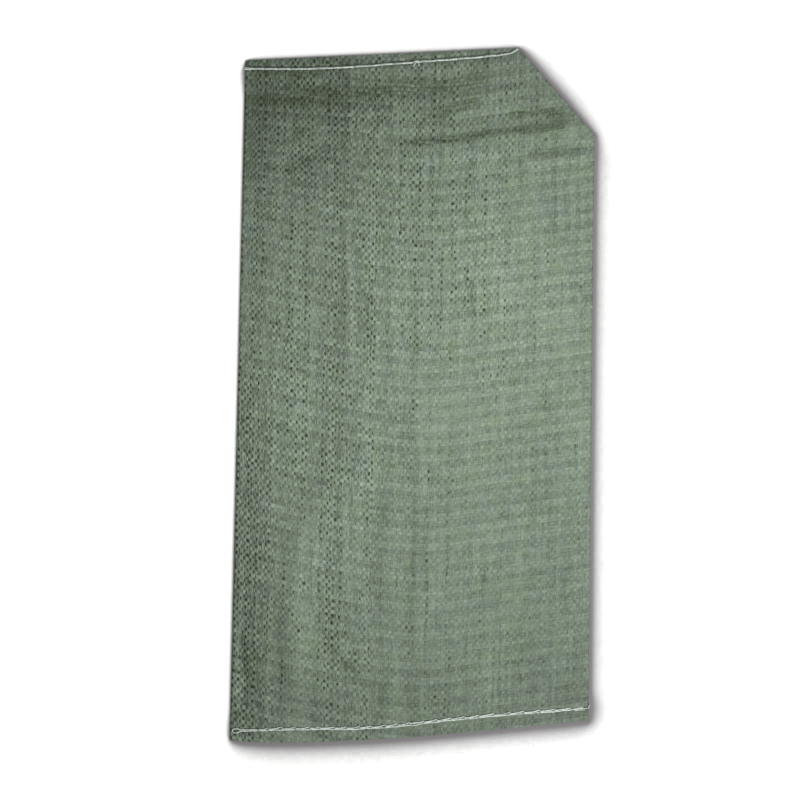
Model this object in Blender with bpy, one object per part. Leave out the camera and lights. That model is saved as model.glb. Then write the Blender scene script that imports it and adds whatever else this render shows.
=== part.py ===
"""Empty valve sack for cement, laid flat: a seamless tube of woven tape cloth, sewn shut at both ends.

Metres, +Z up. The sack lies on its back ply. X runs across it and Y along it, with the top end and its tucked
valve corner toward +Y. The origin is on the floor under the middle of the sack's box.
"""

import math

import bmesh
import bpy
from mathutils import Vector

# The two side folds lean apart a little toward the bottom end.
LEFT_FOLD_BOTTOM_X = -0.2020
LEFT_FOLD_TOP_X = -0.1985
RIGHT_FOLD_BOTTOM_X = 0.2020
RIGHT_FOLD_TOP_X = 0.1955
FOLDS_BOTTOM_Y = -0.3940
FOLDS_TOP_Y = 0.3990

# The ends are cut out of square. The top cut is straight, and the bottom cut curves through these points.
TOP_CUT_MIDDLE_Y = 0.3870
TOP_CUT_SLOPE = 0.0621
BOTTOM_CUT = (
    (-0.2020, -0.3925),
    (-0.1640, -0.3939),
    (-0.1200, -0.3930),
    (-0.0100, -0.3858),
    (0.0800, -0.3764),
    (0.2020, -0.3623),
)

# The fold across the tucked corner, from the top cut down to the right side fold.
VALVE_TOP = Vector((0.1088, 0.3938))
VALVE_SIDE = Vector((0.1963, 0.2975))

# The lines of stitching curve through these points. The top one climbs to the end of the corner's fold.
TOP_SEAM = (
    (-0.1985, 0.3644),
    (-0.1370, 0.3654),
    (-0.0860, 0.3681),
    (-0.0040, 0.3756),
    (0.0660, 0.3825),
    (0.0940, 0.3860),
    (0.1080, 0.3900),
)
BOTTOM_SEAM = (
    (-0.2020, -0.3811),
    (-0.1170, -0.3773),
    (-0.0575, -0.3757),
    (-0.0136, -0.3720),
    (0.0314, -0.3660),
    (0.0775, -0.3604),
    (0.1280, -0.3551),
    (0.2020, -0.3481),
)
SEAM_FLAT = 0.003
LEAST_HEM = 0.002

# The cloth's wall, and how high it lies. Each hem is lifted clear of the floor by the thread under it.
PLY = 0.0004
PRESSED_GAP = 0.0003
EDGE_HEIGHT = 2 * PLY + PRESSED_GAP
MIDDLE_SWELL = 0.0030
SIDE_SWELL_RUN = 0.022
END_SWELL_RUN = 0.034
SIDE_LIFT = 0.0006
SIDE_LIFT_RUN = 0.010
HEM_LIFT = 0.0018
HEM_LIFT_RUN = 0.040

# Broad swells of the front ply: middle, half length along X and Y, and height.
FRONT_SWELLS = (
    (Vector((-0.125, -0.235)), Vector((0.060, 0.130)), 0.0005),
    (Vector((0.060, 0.130)), Vector((0.110, 0.150)), 0.0004),
    (Vector((0.050, 0.335)), Vector((0.120, 0.030)), 0.0005),
)

# The valve's passage between the inner flaps. It starts a little inside both ends of the fold.
PASSAGE_SHARE = 0.4
PASSAGE_LEAST = 0.0001
PASSAGE_TOP_INSET = 0.018
PASSAGE_SIDE_INSET = 0.004
MOUTH_REACH = 0.004
FLAP_CUTS = 4

# Each seam's thread runs along both faces of the hem and passes through it near the seam's two ends.
THREAD_RADIUS = 0.0007
THREAD_GAP = 0.0003
THREAD_END_INSET = 0.0045
THREAD_STEPS = 22
THREAD_TURN_RADIUS = 0.0011
THREAD_TURN_STEPS = 3
TOP_SEAM_RIGHT_X = 0.1060
HOLE_SIDES = 12

# Grid lines of the cloth: distances in from the side folds and from the seams, and how many lie between them.
SIDE_COLUMNS = (0.0, 0.0008, 0.0035, 0.010, 0.022, 0.040)
SEAM_ROWS = (SEAM_FLAT, 0.012, 0.024, 0.040, 0.060)
MIDDLE_COLUMNS = 11
MIDDLE_ROWS = 20
CUTTER_REACH = 0.006

CLOTH_COLOUR = (0.205, 0.262, 0.196, 1.0)
THREAD_COLOUR = (0.70, 0.73, 0.68, 1.0)


def eased(share):
    """A share from 0 to 1 with a level start and end."""
    share = min(max(share, 0.0), 1.0)
    return share * share * (3.0 - 2.0 * share)


def left_fold_x(y):
    """X of the left side fold at this Y."""
    along = (y - FOLDS_BOTTOM_Y) / (FOLDS_TOP_Y - FOLDS_BOTTOM_Y)
    return LEFT_FOLD_BOTTOM_X + along * (LEFT_FOLD_TOP_X - LEFT_FOLD_BOTTOM_X)


def right_fold_x(y):
    """X of the right side fold at this Y."""
    along = (y - FOLDS_BOTTOM_Y) / (FOLDS_TOP_Y - FOLDS_BOTTOM_Y)
    return RIGHT_FOLD_BOTTOM_X + along * (RIGHT_FOLD_TOP_X - RIGHT_FOLD_BOTTOM_X)


def through(points, x):
    """Height at X of a smooth curve through the points, straight on past its ends."""
    last = len(points) - 1
    slopes = []
    for i in range(last + 1):
        before = points[max(i - 1, 0)]
        after = points[min(i + 1, last)]
        slopes.append((after[1] - before[1]) / (after[0] - before[0]))
    if x <= points[0][0]:
        return points[0][1] + slopes[0] * (x - points[0][0])
    if x >= points[last][0]:
        return points[last][1] + slopes[last] * (x - points[last][0])
    i = max(j for j in range(last) if points[j][0] <= x)
    run = points[i + 1][0] - points[i][0]
    t = (x - points[i][0]) / run
    start = (1.0 + 2.0 * t) * (1.0 - t) ** 2 * points[i][1] + t * (1.0 - t) ** 2 * run * slopes[i]
    end = t * t * (3.0 - 2.0 * t) * points[i + 1][1] + t * t * (t - 1.0) * run * slopes[i + 1]
    return start + end


def top_cut_y(x):
    """Y of the top end of the cloth at this X."""
    return TOP_CUT_MIDDLE_Y + TOP_CUT_SLOPE * x


def bottom_cut_y(x):
    """Y of the bottom end of the cloth at this X."""
    return through(BOTTOM_CUT, x)


def top_seam_y(x):
    """Y of the top stitching at this X."""
    return min(through(TOP_SEAM, x), top_cut_y(x) - LEAST_HEM)


def bottom_seam_y(x):
    """Y of the bottom stitching at this X."""
    return through(BOTTOM_SEAM, x)


def from_side(x, y):
    """Distance from the nearer side fold, never under 0."""
    return max(min(x - left_fold_x(y), right_fold_x(y) - x), 0.0)


def from_seam(x, y):
    """Distance inward from the flat strip at the nearer seam, never under 0."""
    return max(min(top_seam_y(x) - y, y - bottom_seam_y(x)) - SEAM_FLAT, 0.0)


def underside(x, y):
    """Height of the back ply's outer face. It is 0 apart from the lifted hems and side folds."""
    hem = HEM_LIFT * (1.0 - eased(from_seam(x, y) / HEM_LIFT_RUN))
    side = SIDE_LIFT * (1.0 - eased(from_side(x, y) / SIDE_LIFT_RUN))
    return max(hem, side)


def swell(x, y):
    """Extra height of the front ply over the pressed edges, from 0 at a seam or a side fold."""
    side_share = 1.0 - math.exp(-from_side(x, y) / SIDE_SWELL_RUN)
    end_share = 1.0 - math.exp(-from_seam(x, y) / END_SWELL_RUN)
    height = MIDDLE_SWELL
    for middle, half, extra in FRONT_SWELLS:
        away = ((x - middle.x) / half.x) ** 2 + ((y - middle.y) / half.y) ** 2
        height += extra * math.exp(-away)
    return height * side_share * end_share


def topside(x, y):
    """Height of the front ply's outer face."""
    return underside(x, y) + EDGE_HEIGHT + swell(x, y)


def inner_low(x, y):
    """Height of the back ply's inner face."""
    return underside(x, y) + PLY


def inner_high(x, y):
    """Height of the front ply's inner face."""
    return topside(x, y) - PLY


def passage_half_height(x, y):
    """Half the height of the space between the valve's two inner flaps."""
    room = (topside(x, y) - underside(x, y)) / 2 - 2 * PLY
    return max(PASSAGE_SHARE * room, PASSAGE_LEAST)


def middle_height(x, y):
    """Height halfway between the two plies."""
    return (topside(x, y) + underside(x, y)) / 2


def passage_low(x, y):
    """Height of the back flap's inner face."""
    return middle_height(x, y) - passage_half_height(x, y)


def passage_high(x, y):
    """Height of the front flap's inner face."""
    return middle_height(x, y) + passage_half_height(x, y)


def flaps_low(x, y):
    """Height of the back flap's outer face."""
    return passage_low(x, y) - PLY


def flaps_high(x, y):
    """Height of the front flap's outer face."""
    return passage_high(x, y) + PLY


def spread(near, count, size):
    """Positions from 0 to size: the given distances from both ends, and even steps between them."""
    first = near[-1]
    step = (size - 2 * first) / (count + 1)
    middle = [first + step * (i + 1) for i in range(count)]
    return list(near) + middle + [size - distance for distance in reversed(near)]


def collection(name):
    """A new collection under the scene's own."""
    made = bpy.data.collections.new(name)
    bpy.context.scene.collection.children.link(made)
    return made


def material(name, colour, roughness):
    """A Principled material of one colour."""
    made = bpy.data.materials.new(name)
    made.use_nodes = True
    shader = made.node_tree.nodes["Principled BSDF"]
    shader.inputs["Base Color"].default_value = colour
    shader.inputs["Roughness"].default_value = roughness
    shader.inputs["Metallic"].default_value = 0.0
    made.diffuse_color = colour
    return made


def as_object(bm, name, holder):
    """The bmesh as a named object in the collection."""
    mesh = bpy.data.meshes.new(name)
    bm.to_mesh(mesh)
    bm.free()
    made = bpy.data.objects.new(name, mesh)
    holder.objects.link(made)
    return made


def as_cutter(made):
    """Marks an object as a helper that is not part of the sack."""
    made.hide_render = True
    made.display_type = "WIRE"
    return made


def raise_to_solid(bm, low, high):
    """Turns a flat sheet of faces into a closed solid between two height functions of X and Y."""
    flat = bm.faces[:]
    raised = bmesh.ops.extrude_face_region(bm, geom=flat, use_keep_orig=True)["geom"]
    upper = {item for item in raised if isinstance(item, bmesh.types.BMVert)}
    for vert in bm.verts:
        height = high if vert in upper else low
        vert.co.z = height(vert.co.x, vert.co.y)
    bmesh.ops.triangulate(bm, faces=bm.faces[:])
    bmesh.ops.recalc_face_normals(bm, faces=bm.faces[:])


def cut_away(bm, point, normal):
    """Removes the part of a flat sheet on the normal's side of a line."""
    everything = bm.verts[:] + bm.edges[:] + bm.faces[:]
    place = Vector((point.x, point.y, 0.0))
    facing = Vector((normal.x, normal.y, 0.0))
    bmesh.ops.bisect_plane(bm, geom=everything, plane_co=place, plane_no=facing, clear_outer=True)


def column_of_rows(x, end_reach):
    """Y of every row of the cloth's grid at this X, with the cut ends moved out by end_reach."""
    low = bottom_seam_y(x)
    between = spread(SEAM_ROWS, MIDDLE_ROWS, top_seam_y(x) - low)
    rows = [low + distance for distance in between]
    return [bottom_cut_y(x) - end_reach] + rows + [top_cut_y(x) + end_reach]


def cloth_sheet(side_inset, end_reach):
    """A flat grid that fills the sack's outline: in from the side folds and out past the cut ends."""
    width = RIGHT_FOLD_BOTTOM_X - LEFT_FOLD_BOTTOM_X
    columns = spread(SIDE_COLUMNS, MIDDLE_COLUMNS, width)
    last_column = len(columns) - 1
    last_row = len(column_of_rows(0.0, end_reach)) - 1
    bm = bmesh.new()
    bmesh.ops.create_grid(bm, x_segments=last_column, y_segments=last_row, size=0.5)
    for vert in bm.verts:
        across = columns[round((vert.co.x + 0.5) * last_column)] / width
        row = round((vert.co.y + 0.5) * last_row)
        guess_y = column_of_rows((across - 0.5) * width, end_reach)[row]
        left = left_fold_x(guess_y) + side_inset
        right = right_fold_x(guess_y) - side_inset
        vert.co.x = left + across * (right - left)
        vert.co.y = column_of_rows(vert.co.x, end_reach)[row]
    return bm


def valve_fold():
    """The tucked corner's fold line as a point, its direction and its outward normal."""
    along = (VALVE_SIDE - VALVE_TOP).normalized()
    outward = Vector((-along.y, along.x))
    return VALVE_TOP, along, outward


def tucked_corner():
    """Where the tube's own corner lies once it is pushed in between the plies."""
    point, along, outward = valve_fold()
    x = right_fold_x(FOLDS_TOP_Y)
    corner = Vector((x, top_cut_y(x)))
    reach = (corner - point).dot(outward)
    return corner - 2 * reach * outward


def corner_sheet(corners):
    """A flat sheet with these corners, divided into smaller triangles."""
    bm = bmesh.new()
    verts = [bm.verts.new((corner.x, corner.y, 0.0)) for corner in corners]
    bm.faces.new(verts)
    bmesh.ops.triangulate(bm, faces=bm.faces[:])
    bmesh.ops.subdivide_edges(bm, edges=bm.edges[:], cuts=FLAP_CUTS, use_grid_fill=True)
    return bm


def make_envelope(holder):
    """The sack's outer shape, filled, with its corner folded away."""
    point, _, outward = valve_fold()
    bm = cloth_sheet(0.0, 0.0)
    cut_away(bm, point, outward)
    raise_to_solid(bm, underside, topside)
    return as_object(bm, "sack", holder)


def make_inside(holder):
    """The space between the plies. It runs out through both cut ends."""
    point, _, outward = valve_fold()
    bm = cloth_sheet(PLY, CUTTER_REACH)
    cut_away(bm, point - PLY * outward, outward)
    raise_to_solid(bm, inner_low, inner_high)
    return as_cutter(as_object(bm, "inside", holder))


def make_flaps(holder):
    """The two inner flaps of the valve and the space between them, as one wedge."""
    _, _, outward = valve_fold()
    outside = MOUTH_REACH * outward
    bm = corner_sheet((VALVE_TOP + outside, tucked_corner(), VALVE_SIDE + outside))
    raise_to_solid(bm, flaps_low, flaps_high)
    return as_cutter(as_object(bm, "flaps", holder))


def make_passage(holder):
    """The valve's passage, from the slanting mouth to the open inner end of the flaps."""
    _, along, outward = valve_fold()
    corner = tucked_corner()
    down_end = (corner - VALVE_TOP).normalized()
    past_end = Vector((down_end.y, -down_end.x))
    side_fold = (VALVE_SIDE - corner).normalized()
    off_fold = Vector((-side_fold.y, side_fold.x))
    outside = MOUTH_REACH * outward
    mouth_top = VALVE_TOP + PASSAGE_TOP_INSET * along + outside
    mouth_side = VALVE_SIDE - PASSAGE_SIDE_INSET * along + outside
    end_top = VALVE_TOP + PASSAGE_TOP_INSET * down_end + MOUTH_REACH * past_end
    end_side = corner + 2 * PLY * off_fold + MOUTH_REACH * past_end
    bm = corner_sheet((mouth_top, end_top, end_side, mouth_side))
    raise_to_solid(bm, passage_low, passage_high)
    return as_cutter(as_object(bm, "passage", holder))


def seam_ends(seam_y, right_x):
    """X of the seam's first and last needle holes."""
    left_x = left_fold_x(seam_y(LEFT_FOLD_TOP_X)) + THREAD_END_INSET
    return left_x, right_x


def make_needle_hole(holder, name, x, y):
    """A round cutter straight down through the hem."""
    bm = bmesh.new()
    radius = THREAD_RADIUS + THREAD_GAP
    depth = 2 * HEM_LIFT + 2 * EDGE_HEIGHT
    bmesh.ops.create_cone(
        bm, cap_ends=True, segments=HOLE_SIDES, radius1=radius, radius2=radius, depth=depth
    )
    bmesh.ops.translate(bm, verts=bm.verts[:], vec=Vector((x, y, middle_height(x, y))))
    return as_cutter(as_object(bm, name, holder))


def boolean(target, cutter, operation):
    """Adds an exact Boolean modifier."""
    modifier = target.modifiers.new(f"{operation.lower()} {cutter.name}", "BOOLEAN")
    modifier.operation = operation
    modifier.solver = "EXACT"
    modifier.object = cutter


def thread_loop(seam_y, left_x, right_x):
    """Points of the thread: along the front, down through the hem, back along the rear and up again."""
    rise = THREAD_GAP + THREAD_RADIUS
    first_x = left_x + THREAD_TURN_RADIUS
    run = right_x - THREAD_TURN_RADIUS - first_x
    points = []
    for side in (1, -1):
        for i in range(THREAD_STEPS + 1):
            share = i / THREAD_STEPS if side > 0 else 1.0 - i / THREAD_STEPS
            x = first_x + share * run
            y = seam_y(x)
            z = topside(x, y) + rise if side > 0 else underside(x, y) - rise
            points.append(Vector((x, y, z)))
        end_x = right_x if side > 0 else left_x
        end_y = seam_y(end_x)
        front_z = topside(end_x, end_y) + rise
        rear_z = underside(end_x, end_y) - rise
        points += thread_turn(end_x, end_y, front_z, rear_z, side)
    return points


def thread_turn(x, y, front_z, rear_z, side):
    """The two rounded bends that take the thread through the hem at one end of the seam."""
    bend = []
    for i in range(1, THREAD_TURN_STEPS + 1):
        angle = math.pi / 2 * i / THREAD_TURN_STEPS
        out = THREAD_TURN_RADIUS * (1.0 - math.sin(angle))
        fall = THREAD_TURN_RADIUS * (1.0 - math.cos(angle))
        bend.append((out, fall))
    start_z, end_z = (front_z, rear_z) if side > 0 else (rear_z, front_z)
    toward = -1.0 if side > 0 else 1.0
    first = [Vector((x - side * out, y, start_z + toward * fall)) for out, fall in bend]
    last = [Vector((x - side * out, y, end_z - toward * fall)) for out, fall in reversed(bend)]
    return first + last


def make_thread(holder, name, seam_y, left_x, right_x):
    """A closed loop of thread along one seam."""
    points = thread_loop(seam_y, left_x, right_x)
    curve = bpy.data.curves.new(name, "CURVE")
    curve.dimensions = "3D"
    curve.bevel_depth = THREAD_RADIUS
    curve.bevel_resolution = 2
    spline = curve.splines.new("POLY")
    spline.points.add(len(points) - 1)
    for slot, point in zip(spline.points, points):
        slot.co = (point.x, point.y, point.z, 1.0)
    spline.use_cyclic_u = True
    made = bpy.data.objects.new(name, curve)
    holder.objects.link(made)
    return made


def main():
    """Builds the sack and its two seam threads."""
    for old in list(bpy.data.objects):
        bpy.data.objects.remove(old)
    parts = collection("cement_bag")
    cutters = collection("cutters")
    cloth = material("woven cloth", CLOTH_COLOUR, 0.55)
    thread_finish = material("seam thread", THREAD_COLOUR, 0.7)

    sack = make_envelope(parts)
    sack.data.materials.append(cloth)
    inside = make_inside(cutters)
    flaps = make_flaps(cutters)
    passage = make_passage(cutters)
    boolean(inside, flaps, "DIFFERENCE")
    boolean(sack, inside, "DIFFERENCE")
    boolean(sack, passage, "DIFFERENCE")

    bottom_right_x = right_fold_x(FOLDS_BOTTOM_Y) - THREAD_END_INSET
    seams = (
        ("top_seam_thread", top_seam_y, *seam_ends(top_seam_y, TOP_SEAM_RIGHT_X)),
        ("bottom_seam_thread", bottom_seam_y, *seam_ends(bottom_seam_y, bottom_right_x)),
    )
    for name, seam_y, left_x, right_x in seams:
        for end, x in (("left", left_x), ("right", right_x)):
            hole = make_needle_hole(cutters, f"{name} {end} hole", x, seam_y(x))
            boolean(sack, hole, "DIFFERENCE")
        thread = make_thread(parts, name, seam_y, left_x, right_x)
        thread.data.materials.append(thread_finish)


main()
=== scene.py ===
"""Dresses an empty valve sack for cement: woven tape cloth, chain-stitched ends and a soft studio.

Metres, +Z up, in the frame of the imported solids. The sack lies on its back ply, with its top end and its
tucked corner toward +Y. Nothing here moves or resizes a solid: the cloth and the threads stand in for theirs.
"""

import logging
import math
from collections.abc import Sequence
from dataclasses import dataclass, field
from enum import Enum

import bpy
import numpy as np
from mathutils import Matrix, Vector, noise

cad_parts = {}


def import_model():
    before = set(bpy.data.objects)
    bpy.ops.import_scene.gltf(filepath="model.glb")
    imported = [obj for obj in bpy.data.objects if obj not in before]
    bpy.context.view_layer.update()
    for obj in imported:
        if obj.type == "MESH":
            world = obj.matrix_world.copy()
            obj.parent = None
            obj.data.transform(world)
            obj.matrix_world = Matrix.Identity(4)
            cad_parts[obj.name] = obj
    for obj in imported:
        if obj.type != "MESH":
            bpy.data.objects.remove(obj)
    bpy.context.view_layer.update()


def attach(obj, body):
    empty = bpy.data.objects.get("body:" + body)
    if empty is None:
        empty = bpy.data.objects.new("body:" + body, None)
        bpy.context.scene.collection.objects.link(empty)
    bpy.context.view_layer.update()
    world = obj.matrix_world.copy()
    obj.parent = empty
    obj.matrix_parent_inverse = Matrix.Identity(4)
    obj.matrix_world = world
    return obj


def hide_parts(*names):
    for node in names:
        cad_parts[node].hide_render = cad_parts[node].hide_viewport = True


LOG = logging.getLogger("cement_bag")
ROOT_BODY = "root"
WALL = 0.0003
WARP_TAPES = 108
NARROW_TAPES = 2
WEFT_PITCH = 0.00417
CLOTH_MAP = "cloth"

Points = tuple[tuple[float, float], ...]
Place = tuple[float, float, float]
Colour = tuple[float, float, float, float]


class Ply(Enum):
    """One of the two layers of the flat tube. Its value is the way its outer face looks."""

    FRONT = 1
    BACK = -1


class End(Enum):
    """One of the sack's two sewn ends. Its value is the way out of the sack along Y."""

    TOP = 1
    BOTTOM = -1


def eased(share: np.ndarray) -> np.ndarray:
    """Takes a share from 0 to 1 with a level start and end.

    Args:
        share: Any numbers; those outside 0 to 1 are clipped.

    Returns:
        The eased share.
    """
    share = np.clip(share, 0.0, 1.0)
    return share * share * (3.0 - 2.0 * share)


@dataclass(frozen=True)
class Drift:
    """Smooth noise over the sack: its size, the length of one swell, and the slice it is read from."""

    size: float
    grain: float
    seed: float

    def at(self, x: np.ndarray, y: np.ndarray) -> np.ndarray:
        """Reads the noise.

        Args:
            x: Places along X.
            y: Places along Y.

        Returns:
            A number within about the size, over or under 0, for each place.
        """
        places = zip(np.ravel(x) / self.grain, np.ravel(y) / self.grain)
        found = [noise.noise(Vector((a, b, self.seed))) for a, b in places]
        return self.size * np.reshape(found, np.shape(x))


@dataclass(frozen=True)
class Line:
    """A smooth line over the sack, through points in order of their first number."""

    points: Points

    def at(self, x: np.ndarray) -> np.ndarray:
        """Gives the line's second number at each first one, straight on past its two ends.

        Args:
            x: The first numbers.

        Returns:
            The second number at each.
        """
        px, py = np.array(self.points).T
        last = len(px) - 1
        before = np.maximum(np.arange(last + 1) - 1, 0)
        after = np.minimum(np.arange(last + 1) + 1, last)
        slopes = (py[after] - py[before]) / (px[after] - px[before])
        x = np.asarray(x, float)
        i = np.clip(np.searchsorted(px, x, side="right") - 1, 0, last - 1)
        run = px[i + 1] - px[i]
        t = np.clip((x - px[i]) / run, 0.0, 1.0)
        start = (1 + 2 * t) * (1 - t) ** 2 * py[i] + t * (1 - t) ** 2 * run * slopes[i]
        end = t * t * (3 - 2 * t) * py[i + 1] + t * t * (t - 1) * run * slopes[i + 1]
        past = slopes[0] * np.minimum(x - px[0], 0) + slopes[last] * np.maximum(x - px[last], 0)
        return start + end + past


def smooth_route(points: np.ndarray, step: float) -> np.ndarray:
    """Runs a smooth curve through the points and cuts it into even steps.

    Args:
        points: One row for each point, in two or three dimensions.
        step: The length of a step.

    Returns:
        The points along the curve.
    """
    points = np.asarray(points, float)
    ends = (2 * points[:1] - points[1:2], points, 2 * points[-1:] - points[-2:-1])
    padded = np.concatenate(ends)
    fine = []
    for i in range(len(points) - 1):
        a, b, c, d = padded[i : i + 4]
        count = max(4, int(np.linalg.norm(c - b) / step * 3))
        t = (np.arange(count) / count)[:, None]
        bend = (2 * a - 5 * b + 4 * c - d) * t**2 + (3 * b - a - 3 * c + d) * t**3
        fine.append(b + 0.5 * ((c - a) * t + bend))
    fine = np.concatenate([*fine, points[-1:]])
    along = np.concatenate([[0.0], np.cumsum(np.linalg.norm(np.diff(fine, axis=0), axis=1))])
    even = np.linspace(0.0, along[-1], max(2, round(along[-1] / step) + 1))
    return np.stack([np.interp(even, along, axis) for axis in fine.T], axis=1)


@dataclass(frozen=True)
class Pattern:
    """The sack's outline seen from above: side folds, cut ends, lines of stitching and the corner's fold.

    The side folds' lines give an X for each Y. The others give a Y for each X.
    """

    left_fold: Line = Line(((-0.3940, -0.2014), (0.3990, -0.1977)))
    right_fold: Line = Line(((-0.3940, 0.2020), (0.3990, 0.1955)))
    top_cut: Line = Line(((-0.2, 0.37350), (0.2, 0.39880)))
    bottom_cut: Line = Line(
        (
            (-0.2020, -0.3925), (-0.1640, -0.3939), (-0.1200, -0.3930), (-0.0100, -0.3858),
            (0.0800, -0.3764), (0.2020, -0.3623),
        )
    )
    top_stitches: Line = Line(
        (
            (-0.1985, 0.3644), (-0.1370, 0.3654), (-0.0860, 0.3681), (-0.0040, 0.3756), (0.0660, 0.3825),
            (0.0940, 0.3860), (0.1080, 0.3900),
        )
    )
    bottom_stitches: Line = Line(
        (
            (-0.2020, -0.3811), (-0.1170, -0.3773), (-0.0575, -0.3757), (-0.0136, -0.3720),
            (0.0314, -0.3660), (0.0775, -0.3604), (0.1280, -0.3551), (0.2020, -0.3481),
        )
    )
    least_hem: float = 0.002
    valve_top: tuple[float, float] = (0.1088, 0.3931)
    valve_side: tuple[float, float] = (0.1963, 0.2975)

    def folds(self, y: np.ndarray) -> tuple[np.ndarray, np.ndarray]:
        """Gives the X of both side folds.

        Args:
            y: Places along Y.

        Returns:
            X of the left fold and X of the right fold.
        """
        return self.left_fold.at(y), self.right_fold.at(y)

    def seam(self, end: End, x: np.ndarray) -> np.ndarray:
        """Gives the Y of an end's stitching. At the top it is never nearer the cut than the least hem.

        Args:
            end: The end.
            x: Places along X.

        Returns:
            Y at each place.
        """
        if end is End.BOTTOM:
            return self.bottom_stitches.at(x)
        return np.minimum(self.top_stitches.at(x), self.top_cut.at(x) - self.least_hem)

    def across(self, x: np.ndarray, y: np.ndarray) -> np.ndarray:
        """Share of the way from the left fold to the right fold."""
        left, right = self.folds(y)
        return (x - left) / (right - left)

    def from_side(self, x: np.ndarray, y: np.ndarray) -> np.ndarray:
        """Distance in from the nearer side fold, never under 0."""
        left, right = self.folds(y)
        return np.maximum(np.minimum(x - left, right - x), 0.0)

    def from_seam(self, x: np.ndarray, y: np.ndarray) -> np.ndarray:
        """Distance inward from the nearer line of stitching, under 0 in a hem."""
        return np.minimum(self.seam(End.TOP, x) - y, y - self.seam(End.BOTTOM, x))

    def valve_fold(self) -> tuple[np.ndarray, np.ndarray, np.ndarray]:
        """Gives the tucked corner's fold line.

        Returns:
            A point on the line, its direction down to the side fold, and its outward normal.
        """
        top = np.array(self.valve_top)
        along = np.array(self.valve_side) - top
        along /= np.linalg.norm(along)
        return top, along, np.array((-along[1], along[0]))


@dataclass(frozen=True)
class Crease:
    """A soft ridge or valley along a line on the front ply, with its own slope on each side."""

    path: Points
    height: float
    left_run: float
    right_run: float
    fade: float = 0.030
    at_ends: float = 0.15
    step: float = 0.002

    def relief(self, x: np.ndarray, y: np.ndarray) -> np.ndarray:
        """Works out how far the crease lifts the cloth.

        Args:
            x: Places along X.
            y: Places along Y.

        Returns:
            The lift at each place, below 0 in a valley.
        """
        line = smooth_route(np.array(self.path), self.step)
        gaps = (x[:, None] - line[:, 0]) ** 2 + (y[:, None] - line[:, 1]) ** 2
        near = gaps.argmin(axis=1)
        heading = np.gradient(line, axis=0)[near]
        off = np.stack([x, y], axis=1) - line[near]
        side = heading[:, 0] * off[:, 1] - heading[:, 1] * off[:, 0]
        run = np.where(side > 0, self.left_run, self.right_run)
        from_end = np.minimum(near, len(line) - 1 - near) * self.step
        along = self.at_ends + (1 - self.at_ends) * eased(from_end / self.fade)
        return self.height * along * np.exp(-gaps[np.arange(len(x)), near] / run**2)


CREASES = (
    Crease(
        (
            (-0.200, 0.310), (-0.136, 0.308), (-0.085, 0.313), (-0.035, 0.320), (0.021, 0.325),
            (0.089, 0.335), (0.125, 0.345),
        ),
        0.0013, 0.020, 0.034,
    ),
    Crease(
        (
            (-0.030, 0.278), (0.034, 0.284), (0.068, 0.290), (0.101, 0.297), (0.140, 0.303),
            (0.180, 0.310),
        ),
        0.0015, 0.0085, 0.026, 0.020,
    ),
    Crease(((0.104, 0.296), (0.141, 0.299), (0.180, 0.308)), 0.0011, 0.007, 0.016, 0.015),
    Crease(((0.110, 0.270), (0.158, 0.272), (0.198, 0.275)), 0.0012, 0.006, 0.018, 0.015),
    Crease(
        ((-0.165, 0.248), (-0.140, 0.2625), (-0.115, 0.2775), (-0.080, 0.292)),
        -0.0008, 0.011, 0.009, 0.020,
    ),
    Crease(
        (
            (-0.075, -0.060), (-0.098, -0.110), (-0.115, -0.145), (-0.124, -0.188), (-0.130, -0.233),
            (-0.132, -0.278), (-0.127, -0.345),
        ),
        0.0022, 0.034, 0.018, 0.060,
    ),
    Crease(
        ((-0.112, -0.225), (-0.097, -0.272), (-0.073, -0.305), (-0.045, -0.327), (-0.020, -0.352)),
        -0.0010, 0.008, 0.010, 0.030,
    ),
    Crease(((-0.196, -0.262), (-0.186, -0.313), (-0.180, -0.350)), -0.0008, 0.007, 0.007, 0.020),
)


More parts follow.
